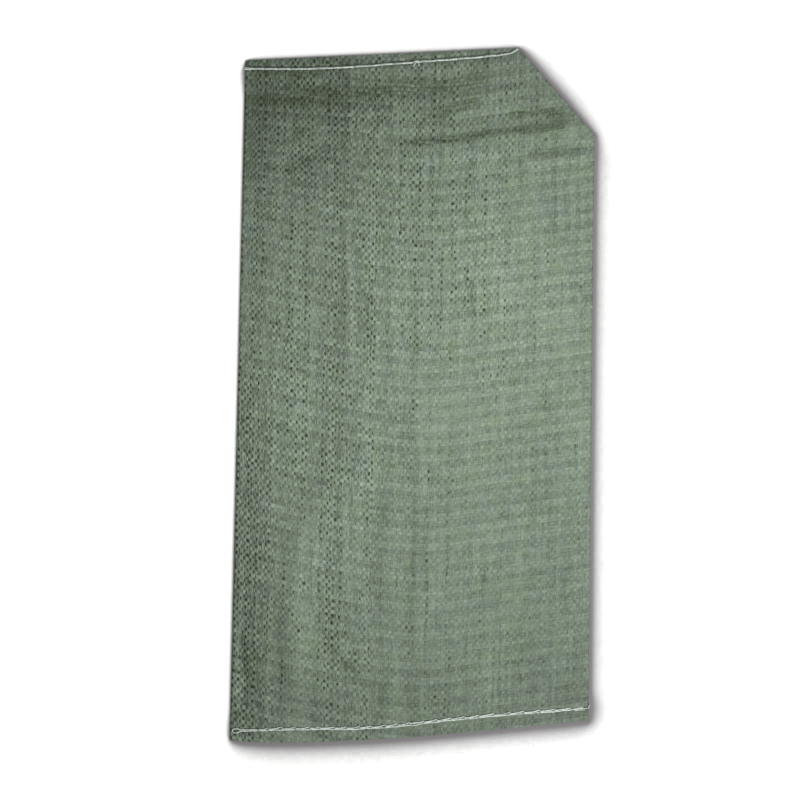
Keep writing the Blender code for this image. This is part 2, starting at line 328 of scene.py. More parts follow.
# Painted shade along the creases: lines of darker, olive-tinted tone. A line's height is its strength.
PAINTED_CREASE_SHADE = (
    Crease(
        (
            (-0.030, 0.280), (0.0025, 0.2855), (0.0227, 0.2875), (0.0450, 0.2915), (0.0676, 0.2960),
            (0.0855, 0.2990), (0.0975, 0.3020),
        ),
        0.80, 0.0045, 0.0075, 0.040,
    ),
    Crease(
        ((0.0988, 0.3160), (0.1130, 0.3205), (0.1348, 0.3221), (0.1528, 0.3190), (0.1664, 0.3204)),
        0.8, 0.006, 0.006, 0.012,
    ),
    Crease(
        ((0.0901, 0.2998), (0.1239, 0.3005), (0.1464, 0.3020), (0.1689, 0.3065)),
        0.65, 0.005, 0.006, 0.012,
    ),
    Crease(((0.1150, 0.2755), (0.1356, 0.2785), (0.1918, 0.2835)), 0.6, 0.004, 0.004, 0.020),
    Crease(((0.1300, 0.2695), (0.1448, 0.2715), (0.1920, 0.2747)), 0.5, 0.003, 0.003, 0.020),
    Crease(((-0.1585, 0.2738), (-0.1352, 0.2923), (-0.110, 0.305)), 0.45, 0.006, 0.005, 0.020),
    Crease(((-0.1579, 0.2423), (-0.1201, 0.2655), (-0.100, 0.272)), 0.40, 0.005, 0.004, 0.020),
    Crease(
        (
            (-0.205, 0.331), (-0.157, 0.330), (-0.108, 0.3355), (-0.072, 0.3415), (-0.040, 0.3450),
            (0.010, 0.3475), (0.055, 0.3535), (0.085, 0.3620),
        ),
        0.82, 0.010, 0.009, 0.030,
    ),
    Crease(
        ((-0.205, 0.356), (-0.165, 0.3570), (-0.131, 0.3588), (-0.105, 0.3625)),
        0.7, 0.004, 0.005, 0.020,
    ),
    Crease(
        ((-0.0115, 0.3058), (0.011, 0.3107), (0.033, 0.320), (0.055, 0.330), (0.078, 0.343)),
        0.75, 0.009, 0.008, 0.030,
    ),
    Crease(
        ((-0.115, -0.225), (-0.097, -0.272), (-0.073, -0.305), (-0.045, -0.327), (-0.022, -0.352)),
        0.5, 0.005, 0.005, 0.030,
    ),
    Crease(((-0.194, -0.262), (-0.183, -0.313), (-0.178, -0.350)), 0.6, 0.003, 0.003, 0.020),
)


@dataclass
class Lie:
    """How the empty sack lies: the heights of both plies over the floor."""

    pattern: Pattern
    stitches: dict[End, np.ndarray]
    pressed: float = 0.0008
    swell: float = 0.0033
    side_run: float = 0.022
    end_run: float = 0.022
    top_hem_lift: float = 0.0026
    bottom_hem_lift: float = 0.0014
    hem_run: float = 0.040
    side_lift: float = 0.0005
    side_run_low: float = 0.012
    pucker: float = 0.00028
    pucker_run: float = 0.010
    dimple: float = 0.00025
    dimple_run: float = 0.0022
    puff_sink: float = 0.4
    groove: float = 0.00072
    groove_run: float = 0.0021
    ridge: float = 0.00027
    ridge_run: float = 0.0085
    ripples: tuple[Drift, ...] = (Drift(0.00016, 0.030, 3.1), Drift(0.000064, 0.010, 7.7))
    hem_droop: float = 0.04
    end_bulge: float = 1.6
    flat_side: float = 0.012
    flat_end: tuple[float, float] = (0.004, 0.016)
    stitch_side: float = 0.004
    least_gap: float = 0.00008
    creases: tuple[Crease, ...] = CREASES

    def underside(self, x: np.ndarray, y: np.ndarray) -> np.ndarray:
        """Height of the back ply's middle: on the floor, but lifted at the hems by the thread beneath."""
        inward = np.maximum(self.pattern.from_seam(x, y), 0.0)
        hem_lift = np.where(y > 0, self.top_hem_lift, self.bottom_hem_lift)
        hem = hem_lift * (1 - eased(inward / self.hem_run))
        side = self.side_lift * (1 - eased(self.pattern.from_side(x, y) / self.side_run_low))
        droop = self.hem_droop * np.minimum(self.pattern.from_seam(x, y), 0.0)
        return WALL / 2 + np.maximum(hem, side) + droop

    def swelling(self, x: np.ndarray, y: np.ndarray) -> np.ndarray:
        """Height that the trapped air gives the front ply, 0 at the seams and the side folds."""
        inward = np.maximum(self.pattern.from_seam(x, y), 0.0)
        side = 1 - np.exp(-self.pattern.from_side(x, y) / self.side_run)
        end = 1 - np.exp(-((inward / self.end_run) ** self.end_bulge))
        return self.swell * side * end

    def stitched(self, x: np.ndarray, y: np.ndarray) -> np.ndarray:
        """Works out the puckers: a dimple at every needle hole and a puff between two.

        Args:
            x: Places along X.
            y: Places along Y.

        Returns:
            The lift at each place.
        """
        lift = np.zeros_like(x)
        for end, holes in self.stitches.items():
            off = y - self.pattern.seam(end, x)
            spots = np.interp(x, holes, np.arange(len(holes)))
            puff = np.sin(np.pi * (spots % 1.0)) ** 2 - self.puff_sink
            lift += self.pucker * puff * np.exp(-np.abs(off) / self.pucker_run)
            for hole in holes:
                away = (x - hole) ** 2 + off**2
                lift -= self.dimple * np.exp(-away / self.dimple_run**2)
            lift += self.ridge * np.exp(-((off / self.ridge_run) ** 2))
            lift -= self.groove * np.exp(-((off / self.groove_run) ** 2))
        return lift

    def topside(self, x: np.ndarray, y: np.ndarray) -> np.ndarray:
        """Works out the height of the front ply's middle.

        Args:
            x: Places along X.
            y: Places along Y.

        Returns:
            The height at each place, a wall's thickness or more over the back ply.
        """
        low = self.underside(x, y)
        inward = self.pattern.from_side(x, y)
        past_seam, end_run = self.flat_end
        free = eased(inward / self.flat_side)
        free *= eased((self.pattern.from_seam(x, y) + past_seam) / end_run)
        relief = sum(crease.relief(x, y) for crease in self.creases)
        relief = relief + sum(ripple.at(x, y) for ripple in self.ripples)
        height = low + self.pressed + self.swelling(x, y) + relief * free
        height += self.stitched(x, y) * eased(inward / self.stitch_side)
        return np.maximum(height, low + WALL + self.least_gap)


class Wiring:
    """Adds nodes to one shader tree and links them."""

    def __init__(self, tree: bpy.types.NodeTree) -> None:
        """Takes the tree to build in."""
        self.tree = tree

    def feed(self, socket: bpy.types.NodeSocket, value: object) -> None:
        """Links a signal to a socket, or sets the socket to a plain value.

        Args:
            socket: The input to feed.
            value: A Signal, a number, or a tuple of numbers.
        """
        if isinstance(value, Signal):
            self.tree.links.new(value.socket, socket)
        else:
            socket.default_value = value

    def node(self, kind: str, inputs: dict | None = None, **settings: object) -> bpy.types.Node:
        """Adds a node.

        Args:
            kind: The node's type.
            inputs: What feeds its inputs, by name or number.
            settings: The node's own properties.

        Returns:
            The new node.
        """
        made = self.tree.nodes.new(kind)
        for name, value in settings.items():
            setattr(made, name, value)
        for key, value in (inputs or {}).items():
            self.feed(made.inputs[key], value)
        return made

    def signal(self, node: bpy.types.Node, output: str | int = 0) -> "Signal":
        """The node's output as a signal."""
        return Signal(self, node.outputs[output])

    def math(self, operation: str, *values: object) -> "Signal":
        """Adds a Math node.

        Args:
            operation: The node's operation.
            values: Its inputs, in order.

        Returns:
            Its result.
        """
        return self.signal(self.node("ShaderNodeMath", dict(enumerate(values)), operation=operation))

    def step(self, low: float, high: float, value: object) -> "Signal":
        """A smooth step from 0 at low to 1 at high."""
        inputs = {"Value": value, "From Min": low, "From Max": high}
        return self.signal(self.node("ShaderNodeMapRange", inputs, interpolation_type="SMOOTHSTEP"))

    def mix(self, share: object, first: object, second: object) -> "Signal":
        """Adds a colour Mix node.

        Args:
            share: 0 for the first colour, 1 for the second.
            first: A colour.
            second: A colour.

        Returns:
            The mixed colour.
        """
        made = self.node("ShaderNodeMix", data_type="RGBA")
        self.feed(made.inputs[0], share)
        self.feed(made.inputs[6], first)
        self.feed(made.inputs[7], second)
        return self.signal(made, 2)

    def scaled(self, colour: object, factor: "Signal") -> "Signal":
        """The colour times a number."""
        made = self.node("ShaderNodeVectorMath", {0: colour}, operation="SCALE")
        self.feed(made.inputs["Scale"], factor)
        return self.signal(made)

    def noise(self, vector: object, scale: float, detail: float = 2.0) -> "Signal":
        """Noise from 0 to 1 over a vector."""
        inputs = {"Vector": vector, "Scale": scale, "Detail": detail}
        return self.signal(self.node("ShaderNodeTexNoise", inputs), "Fac")

    def chance(self, number: "Signal") -> "Signal":
        """A random number from 0 to 1 for each whole number."""
        made = self.node("ShaderNodeTexWhiteNoise", {"W": number}, noise_dimensions="1D")
        return self.signal(made, "Value")

    def chance_at(self, x: "Signal", y: "Signal") -> "Signal":
        """A random number from 0 to 1 for each pair of whole numbers."""
        inputs = {"Vector": self.joined(x, y)}
        return self.signal(self.node("ShaderNodeTexWhiteNoise", inputs, noise_dimensions="2D"), "Value")

    def joined(self, x: object, y: object, z: object = 0.0) -> "Signal":
        """A vector from three numbers."""
        return self.signal(self.node("ShaderNodeCombineXYZ", {0: x, 1: y, 2: z}))

    def attribute(self, name: str) -> "Signal":
        """A number that the mesh carries."""
        return self.signal(self.node("ShaderNodeAttribute", attribute_name=name), "Fac")


@dataclass(frozen=True)
class Signal:
    """A number, colour or vector that varies over the surface: one node's output."""

    wiring: Wiring
    socket: bpy.types.NodeSocket

    def __add__(self, other: object) -> "Signal":
        """Sum."""
        return self.wiring.math("ADD", self, other)

    def __radd__(self, other: object) -> "Signal":
        """Sum, the other way round."""
        return self.wiring.math("ADD", other, self)

    def __sub__(self, other: object) -> "Signal":
        """Difference."""
        return self.wiring.math("SUBTRACT", self, other)

    def __rsub__(self, other: object) -> "Signal":
        """Difference, the other way round."""
        return self.wiring.math("SUBTRACT", other, self)

    def __mul__(self, other: object) -> "Signal":
        """Product."""
        return self.wiring.math("MULTIPLY", self, other)

    def __rmul__(self, other: object) -> "Signal":
        """Product, the other way round."""
        return self.wiring.math("MULTIPLY", other, self)


def new_group(name: str, inputs: dict[str, str], outputs: dict[str, str]) -> tuple[Wiring, dict, dict]:
    """Starts a shader node group.

    Args:
        name: The group's name.
        inputs: Socket type for each input's name.
        outputs: Socket type for each output's name.

    Returns:
        The group's wiring, a signal for each input, and the output node's sockets by name.
    """
    tree = bpy.data.node_groups.new(name, "ShaderNodeTree")
    for label, kind in inputs.items():
        tree.interface.new_socket(name=label, in_out="INPUT", socket_type=f"NodeSocket{kind}")
    for label, kind in outputs.items():
        tree.interface.new_socket(name=label, in_out="OUTPUT", socket_type=f"NodeSocket{kind}")
    wiring = Wiring(tree)
    source = wiring.node("NodeGroupInput")
    target = wiring.node("NodeGroupOutput")
    given = {label: Signal(wiring, source.outputs[label]) for label in inputs}
    return wiring, given, {label: target.inputs[label] for label in outputs}


@dataclass(frozen=True)
class Grain:
    """Noise over the tape counts, drawn out along one way of the cloth."""

    across: float
    up: float
    layer: float
    scale: float = 1.0
    detail: float = 2.0
    strength: float = 1.0

    def over(self, w: Wiring, u: Signal, v: Signal) -> Signal:
        """The noise at a count of warp and weft tapes, up to half the strength over or under 0."""
        place = w.joined(u * self.across, v * self.up, self.layer)
        return (w.noise(place, self.scale, self.detail) - 0.5) * self.strength


@dataclass(frozen=True)
class Weight:
    """How strongly a mark shows: a part that is always there, and a part that grows with a mask."""

    always: float
    grown: float

    def where(self, mask: Signal) -> Signal:
        """The strength under a mask from 0 to 1."""
        return self.always + mask * self.grown


@dataclass(frozen=True)
class Crossing:
    """The two tapes that cross at a place: tape counts, how far off their middles, and the luck of each."""

    u: Signal
    v: Signal
    column: Signal
    row: Signal
    off_u: Signal
    off_v: Signal
    warp_over: Signal
    weft_over: Signal
    warp_luck: Signal
    weft_luck: Signal
    lucks: tuple[Signal, ...]


@dataclass(frozen=True)
class TapeWeave:
    """Plain weave of flat tapes over tape counts.

    The warp tapes lie high and wide. Where a weft tape crosses over, it sits low between them. Its tone
    carries a painted highlight on raised tapes and painted shade in the pits, the gaps and the creases.
    """

    # How the tapes wander.
    sway: Grain = Grain(0.5, 1.0, 2.0, 0.20, 1.0, 0.9)
    row_sway: Grain = Grain(1.0, 0.5, 9.0, 0.20, 1.0, 0.45)
    jitter: Grain = Grain(1.0, 0.12, 23.0, 0.7, 0.0, 1.1)
    row_jitter: Grain = Grain(1.0, 1.0, 31.0, 0.7, 0.0, 0.20)
    column_seed: float = 11.5
    row_seed: float = 700.5
    # The pits beside the weft tapes, with painted shade in them.
    pit_width: float = 0.31
    pit_height: float = 0.45
    pit_edge: tuple[float, float] = (0.35, 1.35)
    pit_size: Weight = Weight(0.70, 0.6)
    pit_depth: Weight = Weight(-0.45, 1.25)
    pit_patches: Grain = Grain(1.0, 1.0, 44.0, 0.22, 2.0, 1.6)
    column_depth: float = 1.2
    least_pit: float = 0.14
    uneven: float = 0.8
    scatter: float = 0.25
    # The tapes' relief, their painted highlight and the painted shade at their edges and gaps.
    lattice: Weight = Weight(0.20, 0.55)
    crown_run: tuple[float, float] = (0.25, 0.5)
    crown_edge: float = 0.5
    warp_height: float = 0.6
    weft_height: float = 0.25
    painted_highlight: Weight = Weight(0.04, 0.08)
    painted_highlight_chance: tuple[float, float] = (0.50, 1.0)
    painted_highlight_edge: tuple[float, float] = (0.08, 0.38)
    edge_width: float = 0.07
    edge_shade: float = 0.35
    split: Grain = Grain(3.7, 0.06, 61.0, 1.0, 1.0)
    split_chance: tuple[float, float] = (0.02, 0.25)
    split_shade: float = 0.40
    row_gap_shade: float = 0.10
    row_gap_shade_edge: float = 0.28
    # How the tapes' tone varies, with painted light on the raised warp tapes, painted shade on the low weft
    # tapes and painted shade along creases.
    bobbins: float = 4.0
    dark_bobbin: float = 2.4
    row_beat: float = 0.10
    raised_tape_light: float = 0.02
    low_weft_shade: float = 0.08
    column_change: Grain = Grain(3.7, 0.03, 51.0, 1.0, 1.0, 0.55)
    row_change: float = 0.10
    crossing_change: float = 0.05
    flecks: Grain = Grain(4.4, 2.4, 17.0)
    warp_streaks: tuple[Grain, Weight] = (Grain(4.0, 0.45, 1.0), Weight(0.10, 0.40))
    weft_streaks: tuple[Grain, Weight] = (Grain(0.40, 2.6, 4.0), Weight(0.16, 0.74))
    warp_strokes: Weight = Weight(0.24, 0.46)
    warp_strokes_over: float = 0.10
    weft_strokes: Weight = Weight(0.04, 0.06)
    stroke_counts: tuple[float, float] = (3.0, 2.0)
    weft_run: float = 0.22
    weft_run_shift: float = 9.0
    weft_run_seed: float = 3.5
    crease_streaks: Grain = Grain(0.14, 1.5, 77.0)
    crease_streak_chance: tuple[float, float] = (-0.10, 0.12)
    crease_shade_strength: Weight = Weight(0.10, 0.45)

    def crossing(self, w: Wiring, u: Signal, v: Signal) -> Crossing:
        """Finds the tapes at a place, after the tapes' own wandering.

        Args:
            w: The group's wiring.
            u: Straight count of warp tapes.
            v: Straight count of weft tapes.

        Returns:
            The crossing.
        """
        u = u + self.sway.over(w, u, v)
        v = v + self.row_sway.over(w, u, v)
        u = u + self.jitter.over(w, u, v)
        v = v + self.row_jitter.over(w, u, v)
        column, row = w.math("FLOOR", u), w.math("FLOOR", v)
        off_u, off_v = w.math("ABSOLUTE", u - column - 0.5), w.math("ABSOLUTE", v - row - 0.5)
        warp_over = w.math("FLOORED_MODULO", column + row, 2.0)
        dice = w.node("ShaderNodeTexWhiteNoise", {"Vector": w.joined(column, row)}, noise_dimensions="2D")
        luck = w.node("ShaderNodeSeparateColor", {0: w.signal(dice, "Color")})
        lucks = tuple(w.signal(luck, i) for i in range(3))
        warp_luck, weft_luck = w.chance(column + self.column_seed), w.chance(row + self.row_seed)
        weft_over = 1.0 - warp_over
        return Crossing(u, v, column, row, off_u, off_v, warp_over, weft_over, warp_luck, weft_luck, lucks)

    def pit(self, w: Wiring, at: Crossing, openness: Signal) -> Signal:
        """Works out the pits beside the weft tapes. Their dark colour is painted shade.

        Args:
            w: The group's wiring.
            at: The crossing.
            openness: How open the weave is.

        Returns:
            The pit's depth, from 0 to 1.
        """
        depth = self.pit_depth.where(openness) + (at.lucks[0] - 0.5) * self.uneven
        depth = depth + (at.warp_luck - 0.5) * self.column_depth + self.pit_patches.over(w, at.u, at.v)
        depth = w.math("MINIMUM", w.math("MAXIMUM", depth, self.least_pit), 1.0)
        size = self.pit_size.where(at.lucks[1])
        shift_u, shift_v = (at.warp_luck - 0.5) * self.scatter, (at.lucks[2] - 0.5) * self.scatter
        across = w.math("DIVIDE", at.u - at.column - 0.5 + shift_u, size * self.pit_width)
        up = w.math("DIVIDE", at.v - at.row - 0.5 + shift_v, size * self.pit_height)
        reach = w.math("SQRT", across * across + up * up)
        return (1.0 - w.step(*self.pit_edge, reach)) * depth * at.weft_over

    def grain(self, w: Wiring, at: Crossing, straight: tuple[Signal, Signal], openness: Signal) -> Signal:
        """Adds up what makes a tape's tone vary: its own tint, streaks, strokes and flecks, and painted light
        on the raised warp tapes.

        Args:
            w: The group's wiring.
            at: The crossing.
            straight: The straight counts of warp and weft tapes.
            openness: How open the weave is.

        Returns:
            A tone near 1.
        """
        shut = 1.0 - openness
        thread_u, thread_v = (w.math("FLOOR", count * n) for count, n in zip(straight, self.stroke_counts))
        shift = w.chance(thread_v + self.weft_run_seed) * self.weft_run_shift
        run = w.math("FLOOR", straight[0] * self.weft_run + shift)
        beat = w.math("FLOORED_MODULO", at.row, self.bobbins) - self.dark_bobbin
        bobbin = w.math("COSINE", beat * (2 * math.pi / self.bobbins))
        tone = 1.0 + self.column_change.over(w, at.column, at.v) + (at.weft_luck - 0.5) * self.row_change
        # Painted light: the raised warp tapes are a little lighter.
        tone = tone + bobbin * self.row_beat + (at.warp_over - 0.5) * self.raised_tape_light
        tone = tone + self.flecks.over(w, *straight) + (at.lucks[1] - 0.5) * self.crossing_change
        strokes = self.warp_strokes.where(openness) + self.warp_strokes_over * at.warp_over
        tone = tone + (w.chance_at(thread_u, at.row) - 0.5) * strokes
        tone = tone + (w.chance_at(run, thread_v) - 0.5) * self.weft_strokes.where(shut)
        for (streaks, weight), mask in ((self.warp_streaks, openness), (self.weft_streaks, shut)):
            tone = tone + streaks.over(w, at.u, at.v) * weight.where(mask)
        return tone

    def group(self) -> bpy.types.NodeTree:
        """Builds the node group.

        Returns:
            The group. Its vector counts the warp tapes along X and the weft tapes along Y.
        """
        inputs = {"Vector": "Vector", "Open": "Float", "Crease Shade": "Float"}
        outputs = {"Tone": "Float", "Pit": "Float", "Height": "Float"}
        w, given, sockets = new_group("tape weave", inputs, outputs)
        parts = w.node("ShaderNodeSeparateXYZ", {0: given["Vector"]})
        straight = (w.signal(parts, "X"), w.signal(parts, "Y"))
        openness = given["Open"]
        at = self.crossing(w, *straight)
        pit = self.pit(w, at, openness)
        lattice = self.lattice.where(openness)
        rounded = 1.0 - w.step(*self.crown_run, at.off_u) * self.crown_edge
        crown = w.math("COSINE", at.off_v * math.pi) * rounded
        raised = at.warp_over * crown
        height = (raised * self.warp_height - at.weft_over * self.weft_height) * lattice - pit
        # Painted highlight: a light stroke along the middle of some raised warp tapes.
        painted_highlight = w.step(*self.painted_highlight_chance, at.lucks[2]) * raised * (1.0 - w.step(*self.painted_highlight_edge, at.off_u))
        seam_u, seam_v = (w.step(0.5 - self.edge_width, 0.5, off) for off in (at.off_u, at.off_v))
        seam = w.math("MAXIMUM", seam_u * at.warp_over, seam_v * at.weft_over)
        split = w.step(*self.split_chance, self.split.over(w, at.column, at.v))
        crease_streaks = w.step(*self.crease_streak_chance, self.crease_streaks.over(w, *straight))

        tone = self.grain(w, at, straight, openness) + painted_highlight * self.painted_highlight.where(openness)
        # Painted shade at the tapes' edges, on the low weft tapes and in the gaps between tapes and between
        # rows.
        tone = tone * (1.0 - seam * self.edge_shade * lattice)
        tone = tone * (1.0 - at.weft_over * openness * self.low_weft_shade)
        tone = tone * (1.0 - seam_u * split * self.split_shade)
        tone = tone * (1.0 - w.step(self.row_gap_shade_edge, 0.5, at.off_v) * self.row_gap_shade)
        # Painted shade along the creases.
        tone = tone * (1.0 - given["Crease Shade"] * self.crease_shade_strength.where(crease_streaks))
        for name, value in (("Tone", tone), ("Pit", pit), ("Height", height)):
            w.feed(sockets[name], value)
        return w.tree


@dataclass
class Mottle:
    """Broad soft patches where the cloth is greyer, bluer or more olive.

    A swell is noise by its scale, detail and change of tone. A tint is noise by its place and scale, and the
    two levels between which the tint sets in.
    """

    swells: tuple[Place, ...] = ((16.0, 2.0, 0.16), (70.0, 2.0, 0.22), (190.0, 1.0, 0.12))
    tints: dict[str, tuple[Place, float, float, float]] = field(
        default_factory=lambda: {
            "Olive": ((3.0, 1.0, 0.0), 60.0, 0.50, 0.72),
            "Blue": ((7.0, 5.0, 0.0), 45.0, 0.52, 0.74),
        }
    )

    def group(self) -> bpy.types.NodeTree:
        """Builds the node group.

        Returns:
            The group: a place goes in, and a tone near 1 and two tint masks come out.
        """
        outputs = {"Tone": "Float", **{tint: "Float" for tint in self.tints}}
        w, given, sockets = new_group("mottle", {"Vector": "Vector"}, outputs)
        tone = 1.0
        for scale, detail, change in self.swells:
            tone = tone + (w.noise(given["Vector"], scale, detail) - 0.5) * change
        w.feed(sockets["Tone"], tone)
        for tint, (shift, scale, low, high) in self.tints.items():
            moved = w.node("ShaderNodeVectorMath", {0: given["Vector"], 1: shift}, operation="ADD")
            w.feed(sockets[tint], w.step(low, high, w.noise(w.signal(moved), scale)))
        return w.tree


def new_material(name: str) -> tuple[bpy.types.Material, Wiring, bpy.types.Node]:
    """Starts a material with one Principled shader.

    Args:
        name: The material's name.

    Returns:
        The material, its wiring and its shader.
    """
    made = bpy.data.materials.new(name)
    made.use_nodes = True
    return made, Wiring(made.node_tree), made.node_tree.nodes["Principled BSDF"]


@dataclass(frozen=True)
class ClothFinish:
    """Recycled polypropylene tape, grey-green, with a low plastic sheen."""

    tape: Colour = (0.1806, 0.2236, 0.1757, 1.0)
    olive: Colour = (0.149, 0.200, 0.111, 1.0)
    blue: Colour = (0.165, 0.205, 0.185, 1.0)
    # Painted shade: the colour of the pits.
    hole: Colour = (0.030, 0.042, 0.022, 1.0)
    roughness: float = 0.70
    specular: float = 0.15
    relief: float = 0.00030
    strength: float = 0.8
    olive_share: float = 0.40
    crease_shade_olive: float = 0.5
    blue_share: float = 0.45
    pit_roughness: float = 0.3

    def material(self, weave: bpy.types.NodeTree, mottle: bpy.types.NodeTree) -> bpy.types.Material:
        """Builds the cloth's material.

        Args:
            weave: The weave's node group.
            mottle: The mottle's node group.

        Returns:
            The material.
        """
        made, w, shader = new_material("woven tape cloth")
        counts = w.signal(w.node("ShaderNodeUVMap", uv_map=CLOTH_MAP))
        place = w.signal(w.node("ShaderNodeTexCoord"), "Object")
        crease_shade = w.attribute("crease_shade")
        inputs = {"Vector": counts, "Open": w.attribute("open"), "Crease Shade": crease_shade}
        tapes = w.node("ShaderNodeGroup", inputs, node_tree=weave)
        patches = w.node("ShaderNodeGroup", {"Vector": place}, node_tree=mottle)
        # Painted crease shade is tinted olive.
        olive = w.signal(patches, "Olive") * self.olive_share + crease_shade * self.crease_shade_olive
        colour = w.mix(olive, self.tape, self.olive)
        colour = w.mix(w.signal(patches, "Blue") * self.blue_share, colour, self.blue)
        tone = w.signal(tapes, "Tone") * w.signal(patches, "Tone") * w.attribute("tone")
        colour = w.scaled(colour, tone)
        # The pits take the painted shade colour.
        colour = w.mix(w.signal(tapes, "Pit"), colour, self.hole)
        w.feed(shader.inputs["Base Color"], colour)
        rough = self.roughness + w.signal(tapes, "Pit") * self.pit_roughness
        w.feed(shader.inputs["Roughness"], rough)
        shader.inputs["Specular IOR Level"].default_value = self.specular
        bump = w.node("ShaderNodeBump", {"Strength": self.strength, "Distance": self.relief})
        w.feed(bump.inputs["Height"], w.signal(tapes, "Height"))
        w.feed(shader.inputs["Normal"], w.signal(bump))
        return made


@dataclass(frozen=True)
class SpunYarn:
    """The soil and the fine fibres of spun sewing thread, for the finishes of both threads."""

    soil_scale: float = 240.0
    soil_edge: tuple[float, float] = (0.42, 0.68)
    fibre_scale: float = 2600.0
    tone: Weight = Weight(0.8, 0.4)

    def group(self) -> bpy.types.NodeTree:
        """Builds the node group.

        Returns:
            The group: a place goes in, and a mask of soil, a tone and the fibres' height come out.
        """
        outputs = {"Soil": "Float", "Tone": "Float", "Fibres": "Float"}
        w, given, sockets = new_group("spun yarn", {"Vector": "Vector"}, outputs)
        fibres = w.noise(given["Vector"], self.fibre_scale)
        w.feed(sockets["Soil"], w.step(*self.soil_edge, w.noise(given["Vector"], self.soil_scale)))
        w.feed(sockets["Tone"], self.tone.where(fibres))
        w.feed(sockets["Fibres"], fibres)
        return w.tree


@dataclass(frozen=True)
class ThreadFinish:
    """White spun sewing thread, matt and a little soiled."""

    name: str
    clean: Colour
    soiled: Colour
    roughness: float = 0.78
    specular: float = 0.2
    fibre_relief: float = 0.0001
    strength: float = 0.5

    def material(self, yarn: bpy.types.NodeTree) -> bpy.types.Material:
        """Builds the thread's material.

        Args:
            yarn: The spun yarn's node group.

        Returns:
            The material.
        """
        made, w, shader = new_material(self.name)
        place = w.signal(w.node("ShaderNodeTexCoord"), "Object")
        spun = w.node("ShaderNodeGroup", {"Vector": place}, node_tree=yarn)
        colour = w.mix(w.signal(spun, "Soil"), self.clean, self.soiled)
        w.feed(shader.inputs["Base Color"], w.scaled(colour, w.signal(spun, "Tone")))
        shader.inputs["Roughness"].default_value = self.roughness
        shader.inputs["Specular IOR Level"].default_value = self.specular
        bump = w.node("ShaderNodeBump", {"Strength": self.strength, "Distance": self.fibre_relief})
        w.feed(bump.inputs["Height"], w.signal(spun, "Fibres"))
        w.feed(shader.inputs["Normal"], w.signal(bump))
        return made


def select_only(made: bpy.types.Object) -> None:
    """Deselects everything and makes this object the selected, active one."""
    bpy.ops.object.select_all(action="DESELECT")
    made.select_set(True)
    bpy.context.view_layer.objects.active = made


def numbers(items: Sequence, name: str, width: int) -> np.ndarray:
    """Reads one property of many mesh elements.

    Args:
        items: The mesh's elements.
        name: The property.
        width: How many numbers it has.

    Returns:
        One row for each element.
    """
    found = np.empty(len(items) * width, np.float32)
    items.foreach_get(name, found)
    return found.reshape(-1, width).astype(float)


@dataclass(frozen=True)
class Stripe:
    """A band of warp tapes that is unlike the rest, up to some height."""

    x: float
    half_width: float
    change: float
    top: float = 1.0
    fade: float = 0.08

    def tone(self, across: np.ndarray, y: np.ndarray) -> np.ndarray:
        """The change at each place."""
        kept = eased((self.top - y) / self.fade)
        return kept * self.change * np.exp(-(((across - self.x) / self.half_width) ** 2))


@dataclass(frozen=True)
class PaintedPatch:
    """A soft place on the front with painted light in its tone, or painted shade where its change is under 0.
    """

    x: float
    y: float
    half_width: float
    half_height: float
    change: float

    def tone(self, x: np.ndarray, y: np.ndarray) -> np.ndarray:
        """The change of tone at each place."""
        off_x, off_y = (x - self.x) / self.half_width, (y - self.y) / self.half_height
        return self.change * np.exp(-(off_x**2) - off_y**2)


class Way(Enum):
    """Which way a ramp runs: along X, along Y, or across the ply as if its folds were straight."""

    X = 0
    Y = 1
    ACROSS = 2


@dataclass(frozen=True)
class Ramp:
    """A change that sets in gently from one place to another."""

    way: Way
    start: float
    full: float

    def share(self, places: np.ndarray) -> np.ndarray:
        """How far it has set in at each place, from 0 to 1."""
        return eased((places - self.start) / (self.full - self.start))


@dataclass(frozen=True)
class Zone:
    """A part of the sack where all its ramps have set in, and how much changes there."""

    change: float
    ramps: tuple[Ramp, ...]

    def at(self, places: dict[Way, np.ndarray]) -> np.ndarray:
        """The change at each place."""
        made = self.change
        for ramp in self.ramps:
            made = made * ramp.share(places[ramp.way])
        return made


# Painted shade: the tone falls off to the upper left, to the lower right and at the bottom, as the light
# does.
PAINTED_SHADE = (
    Zone(-0.30, (Ramp(Way.Y, 0.15, 0.31), Ramp(Way.X, 0.05, -0.20))),
    Zone(-0.12, (Ramp(Way.X, 0.05, 0.20), Ramp(Way.Y, 0.05, -0.25))),
    Zone(-0.06, (Ramp(Way.Y, -0.29, -0.38),)),
)
OPENED = (
    Zone(0.73, (Ramp(Way.ACROSS, 0.04, -0.13),)),
    Zone(0.10, (Ramp(Way.Y, 0.20, 0.32), Ramp(Way.ACROSS, 0.00, -0.10))),
    Zone(0.40, (Ramp(Way.ACROSS, -0.158, -0.170), Ramp(Way.Y, 0.05, -0.05))),
    Zone(0.36, (Ramp(Way.Y, 0.00, 0.10), Ramp(Way.ACROSS, 0.16, 0.00), Ramp(Way.ACROSS, -0.10, -0.04))),
    Zone(0.20, (Ramp(Way.Y, 0.08, 0.16), Ramp(Way.ACROSS, 0.135, 0.095), Ramp(Way.ACROSS, 0.02, 0.06))),
)
TIGHTENED = (
    Zone(0.28, (Ramp(Way.Y, 0.28, 0.22),)),
    Zone(0.25, (Ramp(Way.Y, 0.28, 0.22), Ramp(Way.Y, -0.08, -0.14))),
)
